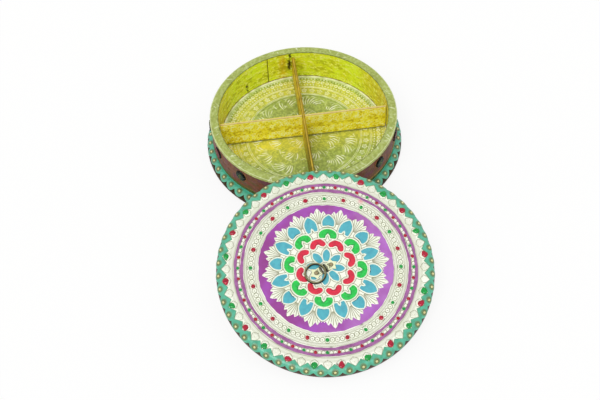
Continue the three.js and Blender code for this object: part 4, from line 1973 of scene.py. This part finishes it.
    def rim_relief(self, place: Array, angle: Array) -> Pressed:
        """Short dashes pressed across the rim strip, with painted highlights on them and on its outer
        rounding, and painted shade along its inner edge.

        Args:
            place: Places in mm.
            angle: Angles in degrees.

        Returns:
            Heights in mm, and attributes.
        """
        rng = np.random.default_rng(SEED)
        dashes = np.zeros(place.shape)
        for share in rng.uniform(-1, 1, self.rim_dashes):
            middle = 180 * share * abs(share) ** 0.4 - 30
            radius, slant = rng.uniform(86.5, 91.5), rng.uniform(-0.9, 0.9)
            long, wide = rng.uniform(1.2, 3.4), rng.uniform(0.5, 1.2)
            strong = rng.uniform(0.4, 1.0)
            turn, _ = fold(angle, 1, middle)
            along, across = place - radius, np.radians(turn) * place
            dash = strong * ridge(across - slant * along, wide) * unit(1.3 - np.abs(along) / long)
            dashes = np.maximum(dashes, dash)
        wavy = mottle(angle, place, (1.2, 1.4), 5, 300)
        # Painted highlights on the dashes and along the outer rounding.
        shine = dashes + 0.6 * ridge(place - 92.9, 0.6) + 0.25 * unit(wavy)
        # Painted shade along the inner edge, by the gap to the lining, and darker random patches.
        ink = 0.8 * ridge(place - self.rim_inner, 1.0) + 0.3 * unit(-wavy)
        return 0.35 * dashes + 0.1 * wavy, {"shine": shine, "ink": ink}

    def add_rim(self) -> None:
        """Adds the strip on top of the wall."""
        end = self.rim.core + self.rim.radius * math.pi / 2 + self.rim_drop
        rows, span = sheet_rows(40, self.sheet), fixed(self.rim_inner, end)
        rim = shell("rim_strip", 1200, rows, self.rim, span, self.rim_relief)
        finish_piece(rim, Body.BOX, Finishes.RIM_FOIL, ["rim_sheet"])

    def lining_relief(self, place: Array, angle: Array) -> Pressed:
        """Small leaves pressed in the foil, two lines round it, a seam, holes and gaps, with painted
        highlights and painted shade.

        Args:
            place: Heights in mm.
            angle: Angles in degrees.

        Returns:
            Heights of the relief in mm, and attributes.
        """
        strokes = 0.8 * mottle(angle, place, (2.4, 1.6), 6, 150)
        strokes = strokes + 0.8 * mottle(angle, place, (0.9, 1.2), 7, 400)
        turn, copy = fold(angle + 1.5 * np.sin(place * 0.8), 120, 0.0)
        leaves = np.cos(np.radians(turn * 60)) * np.cos(place * 0.75 + copy % 2 * 1.6)
        turn, _ = fold(angle, 1, self.seam)
        crease = ridge(np.radians(turn) * self.lining_radius, 0.8)
        lines = sum(ridge(place - line, 0.6) for line in self.lining_lines)
        height = 0.16 * strokes + 0.12 * leaves - 0.3 * crease + 0.2 * lines
        # Painted highlights on the raised strokes, leaves and lines.
        shine = unit(strokes * 1.2 + 0.3 * leaves - 0.3) + 0.4 * lines
        broad = mottle(angle, place, (9.0, 5.0), 17, 40) + 0.9 * mottle(angle, place, (4.0, 3.0), 19, 90)
        # Darker in broad random patches, and painted shade in the hollows between the strokes.
        ink = 0.56 * unit(0.6 * broad - strokes * 0.9 - 0.2 * leaves - 0.1)
        # Painted shade in the seam's crease, along the bottom corner, and in the holes and gaps.
        dirt = np.maximum(crease, 0.4 * ridge(place - self.lining_low, 0.9))
        for middle, low, size in self.dark_spots:
            turn, _ = fold(angle, 1, middle)
            ragged = size * (1 + 0.6 * mottle(angle, place, (0.7, 1.6), 16, 514))
            off = np.hypot(np.radians(turn) * self.lining_radius, (place - low) * 0.4)
            dirt = np.maximum(dirt, unit(1.4 - off / ragged))
        # Painted amber shade where the dividers meet the lining.
        amber = sum(
            unit(1.2 - np.abs(fold(angle, 1, middle)[0]) / half) for middle, half in self.amber_places
        )
        amber = 0.8 * amber * unit(0.85 + 0.4 * mottle(angle, place, (6.0, 6.0), 14, 60))
        return height, {"amber": amber, "shine": shine, "ink": ink, "dirt": dirt}

    def add_lining(self) -> None:
        """Adds the gold foil inside the wall."""
        wall = Upright(self.lining_radius, -1)
        rows, span = sheet_rows(56, self.sheet), fixed(self.lining_low, self.lining_high)
        lining = shell("wall_lining_foil", 1200, rows, wall, span, self.lining_relief)
        finish_piece(lining, Body.BOX, Finishes.GOLD_LINING, ["wall_lining"])

    def floor_relief(self, place: Array, angle: Array) -> Pressed:
        """Beads, blossoms and a rosette, pressed in rings.

        Args:
            place: Places in mm.
            angle: Angles in degrees.

        Returns:
            Heights in mm, and attributes.
        """
        height = 0.4 * unit((place - 82.4) / 0.6)
        for radius in self.floor_lines:
            height = height + 0.35 * ridge(place - radius, 0.55)
        for count, radius, size, line in self.floor_beads:
            turn, _ = fold(angle, count, 0.0)
            height = height + 0.45 * ridge(apart(place, turn, radius) - size, line)
        height = height + 0.35 * self.blossoms(place, angle)
        rays = sum(fans.pressed(place, angle) for fans in self.floor_fans)
        height = height + 0.4 * rays
        # Painted light, which also pales the dark mottling.
        glow = self.floor_glow(place, angle)
        ink = unit(0.6 - mottle(angle, place, (2.0, 1.6), 10, 180)) * (height < 0.05)
        grain = 0.6 + 0.5 * mottle(angle, place, (3.0, 5.0), 8, 120)
        # Painted highlights on the pressed relief.
        shine = unit(height * 3.2 * grain) + unit(rays * 1.5 * grain)
        return height, {"shine": shine, "ink": 0.74 * ink * (1 - 0.7 * glow), "glow": glow}

    def blossoms(self, place: Array, angle: Array) -> Array:
        """A ring of small blossoms with five petals.

        Args:
            place: Places in mm.
            angle: Angles in degrees.

        Returns:
            Their height from 0 to 1.
        """
        turn, _ = fold(angle, 48, 0.0)
        x, y = place - 63.3, np.radians(turn) * place
        away, about = np.hypot(x, y), np.arctan2(y, x)
        blossom = ridge(away - 2.5 * (0.78 + 0.22 * np.cos(5 * about)), 0.8) + ridge(away, 0.9)
        return blossom * (place > 59.5) * (place < 67.2)

    def floor_glow(self, place: Array, angle: Array) -> Array:
        """Painted light: where the floor is brighter and yellower, in front and in a ring at the back.

        Args:
            place: Places in mm.
            angle: Angles in degrees.

        Returns:
            How warm it is at each place.
        """
        x, y = place * np.cos(np.radians(angle)), place * np.sin(np.radians(angle))
        deep, strong = np.where(x < 0, 30.0, 19.0), np.where(x < 0, 1.0, 0.75)
        front = unit(1.3 + (y + 2) / deep) * (y < 0) * strong
        glow = front * unit(0.8 + 0.4 * mottle(x + 200, y + 200, (11.0, 7.0), 9))
        outer = unit((place - 57) / 3) * unit((80 - place) / 3)
        return np.maximum(glow, 0.65 * outer * (y > 0))

    def add_floor(self) -> None:
        """Adds the pressed floor disc, in two rings."""
        level = Rounded(core=200.0, top=self.floor_top)
        rings = (
            ("floor_foil_rosette", 840, 96, 0.0, 57.0, []),
            ("floor_foil_beads", 1200, 62, 57.0, self.floor_radius, ["floor_lining"]),
        )
        for name, columns, steps, inner, outer, replaces in rings:
            rows = sheet_rows(steps, self.sheet)
            made = shell(name, columns, rows, level, fixed(inner, outer), self.floor_relief)
            finish_piece(made, Body.BOX, Finishes.FLOOR_FOIL, replaces)


# The dividers.


@dataclass
class Dividers:
    """The two crossed dividers, each a board in a folded foil, in mm."""

    half_length: float = 83.5
    half_width: float = 1.5
    sheet: float = 0.35
    low: float = 12.7
    high: float = 41.4
    lap: float = 27.2  # height at which one sits on the other
    notch: float = 1.75  # half of its width
    relief: float = 0.22
    pitch: float = 7.4  # from one scroll to the next
    columns: int = 360
    rows: int = 46

    def build(self) -> None:
        """Makes both foils."""
        for body, notch_up, seed, finish in (
            (Body.LONG_DIVIDER, True, 20, Finishes.GOLD_DIVIDER),
            (Body.CROSS_DIVIDER, False, 30, Finishes.CROSS_GOLD),
        ):
            foil = self.make_foil(f"{body.value}_gold_foil", notch_up, seed)
            finish_piece(foil, body, finish, [f"{body.value}_foil"], turned(0 if notch_up else 90))

    def pattern(self, x: Array, z: Array, seed: int) -> Array:
        """Two rows of pressed scrolls and leaves.

        Args:
            x: Places along the foil in mm.
            z: Heights in mm.
            seed: Which blotches the foil has.

        Returns:
            Their height as a share of the relief.
        """
        share = (z - self.low) / (self.high - self.low)
        row = (share > 0.5).astype(int)
        middle = self.low + (0.27 + 0.5 * row) * (self.high - self.low)
        turn = (x + row * self.pitch / 2) / self.pitch
        u, v = (turn - np.round(turn)) * self.pitch, z - middle
        away, about = np.hypot(u, v * 0.9), np.arctan2(v, u)
        scroll = ridge(away - 3.2 - 0.6 * np.cos(5 * about), 1.1) + ridge(away - 1.0, 0.9)
        border = ridge(share - 0.03, 0.03) + ridge(share - 0.97, 0.03)
        fine = 0.7 * mottle(x + 90, z, (1.4, 1.3), seed) + 0.6 * mottle(x + 90, z, (2.9, 2.5), seed + 1)
        return 0.8 * unit(scroll) + border + 0.9 * fine + 0.1

    def section(self) -> list[tuple[float, float, float]]:
        """Section of a foil, from the top of one side round to the top of the other, and back inside.

        Returns:
            Side as a share of the half width, height in mm and share of the relief, for each row.
        """
        heights = np.linspace(self.high, self.low + 0.3, self.rows)
        inside = (self.half_width - self.sheet) / self.half_width
        fold_in = self.low + self.sheet
        return [
            *((1, z, 1) for z in heights),
            *((side, self.low, 0) for side in (0.8, -0.8)),
            *((-1, z, 1) for z in np.linspace(self.low + 0.3, self.high, self.rows)),
            (-inside, self.high, 0), (-inside, fold_in, 0), (inside, fold_in, 0), (inside, self.high, 0),
        ]

    def make_foil(self, name: str, notch_up: bool, seed: int) -> Piece:
        """Makes a foil folded round its board, notched from above or from below.

        Args:
            name: Name of the piece.
            notch_up: Whether the notch opens upwards.
            seed: Which blotches its sheet has.

        Returns:
            The piece, along X.
        """
        foil, along, (side, z, face) = sheet_grid(name, self.columns, self.section())
        x = along * 2 * self.half_length
        step = 2 * self.half_length / self.columns
        edge = (np.abs(x) < self.notch) & (np.abs(x) > self.notch - step)
        x = np.where(edge, np.sign(x) * (self.notch - 0.02), x)
        over = (np.abs(x) > self.notch - 0.01) & (np.abs(x) < self.notch + step)
        x = np.where(over, np.sign(x) * self.notch, x)
        inner = np.abs(x) < self.notch - 0.01
        # The pressed pattern's height, from which the painted highlights and painted shade below come.
        worn = self.pattern(x, z, seed) * face * (np.abs(x) < self.half_length - 0.5)
        cut = np.minimum(z, self.lap - 0.2) if notch_up else np.maximum(z, self.lap + 0.2)
        z = np.where(inner, cut, z)
        y = side * self.half_width + np.sign(side) * self.relief * worn
        move_points(foil, np.column_stack([x, y, z]) * MM)
        dye(
            foil,
            # Painted highlights on the raised pattern.
            shine=worn * 1.3 - 0.65,
            # Painted shade in the pattern's hollows.
            ink=0.34 - 1.4 * worn,
            # Painted shade towards one end, which only the cross divider's finish shows, at its front.
            dusk=0.75 * unit(-(x + 6) / 40),
            # Painted shade along the bottom, where the foil meets the floor.
            dirt=ridge(z - self.low, 2.4),
        )
        with editing(foil):
            bpy.ops.mesh.remove_doubles(threshold=MERGE)
            bpy.ops.mesh.fill_holes(sides=0)
        tidy_mesh(foil)
        return foil


# The boards.


def dress_wood() -> None:
    """Gives the boards of the frame their wood."""
    woods = {
        "base_board": Finishes.WOOD,
        "wall_hoop": Finishes.WOOD,
        "lid_board": Finishes.WOOD,
        "lid_plug_disc": Finishes.WOOD,
        "long_divider": Finishes.LONG_WOOD,
        "cross_divider": Finishes.CROSS_WOOD,
    }
    for name, finish in woods.items():
        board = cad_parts[name]
        board.data.materials.clear()
        board.data.materials.append(finish.material())


def main() -> None:
    """Builds the studio and every sub-assembly."""
    logging.basicConfig(level=logging.INFO, format="%(message)s", stream=sys.stdout)
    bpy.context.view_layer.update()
    Studio().build()
    bpy.context.scene.view_settings.view_transform = "Standard"
    dress_wood()
    Box().build()
    Dividers().build()
    lid = Lid()
    lid.build()
    RingPull().build(lid.place)


if __name__ == "__main__":
    main()
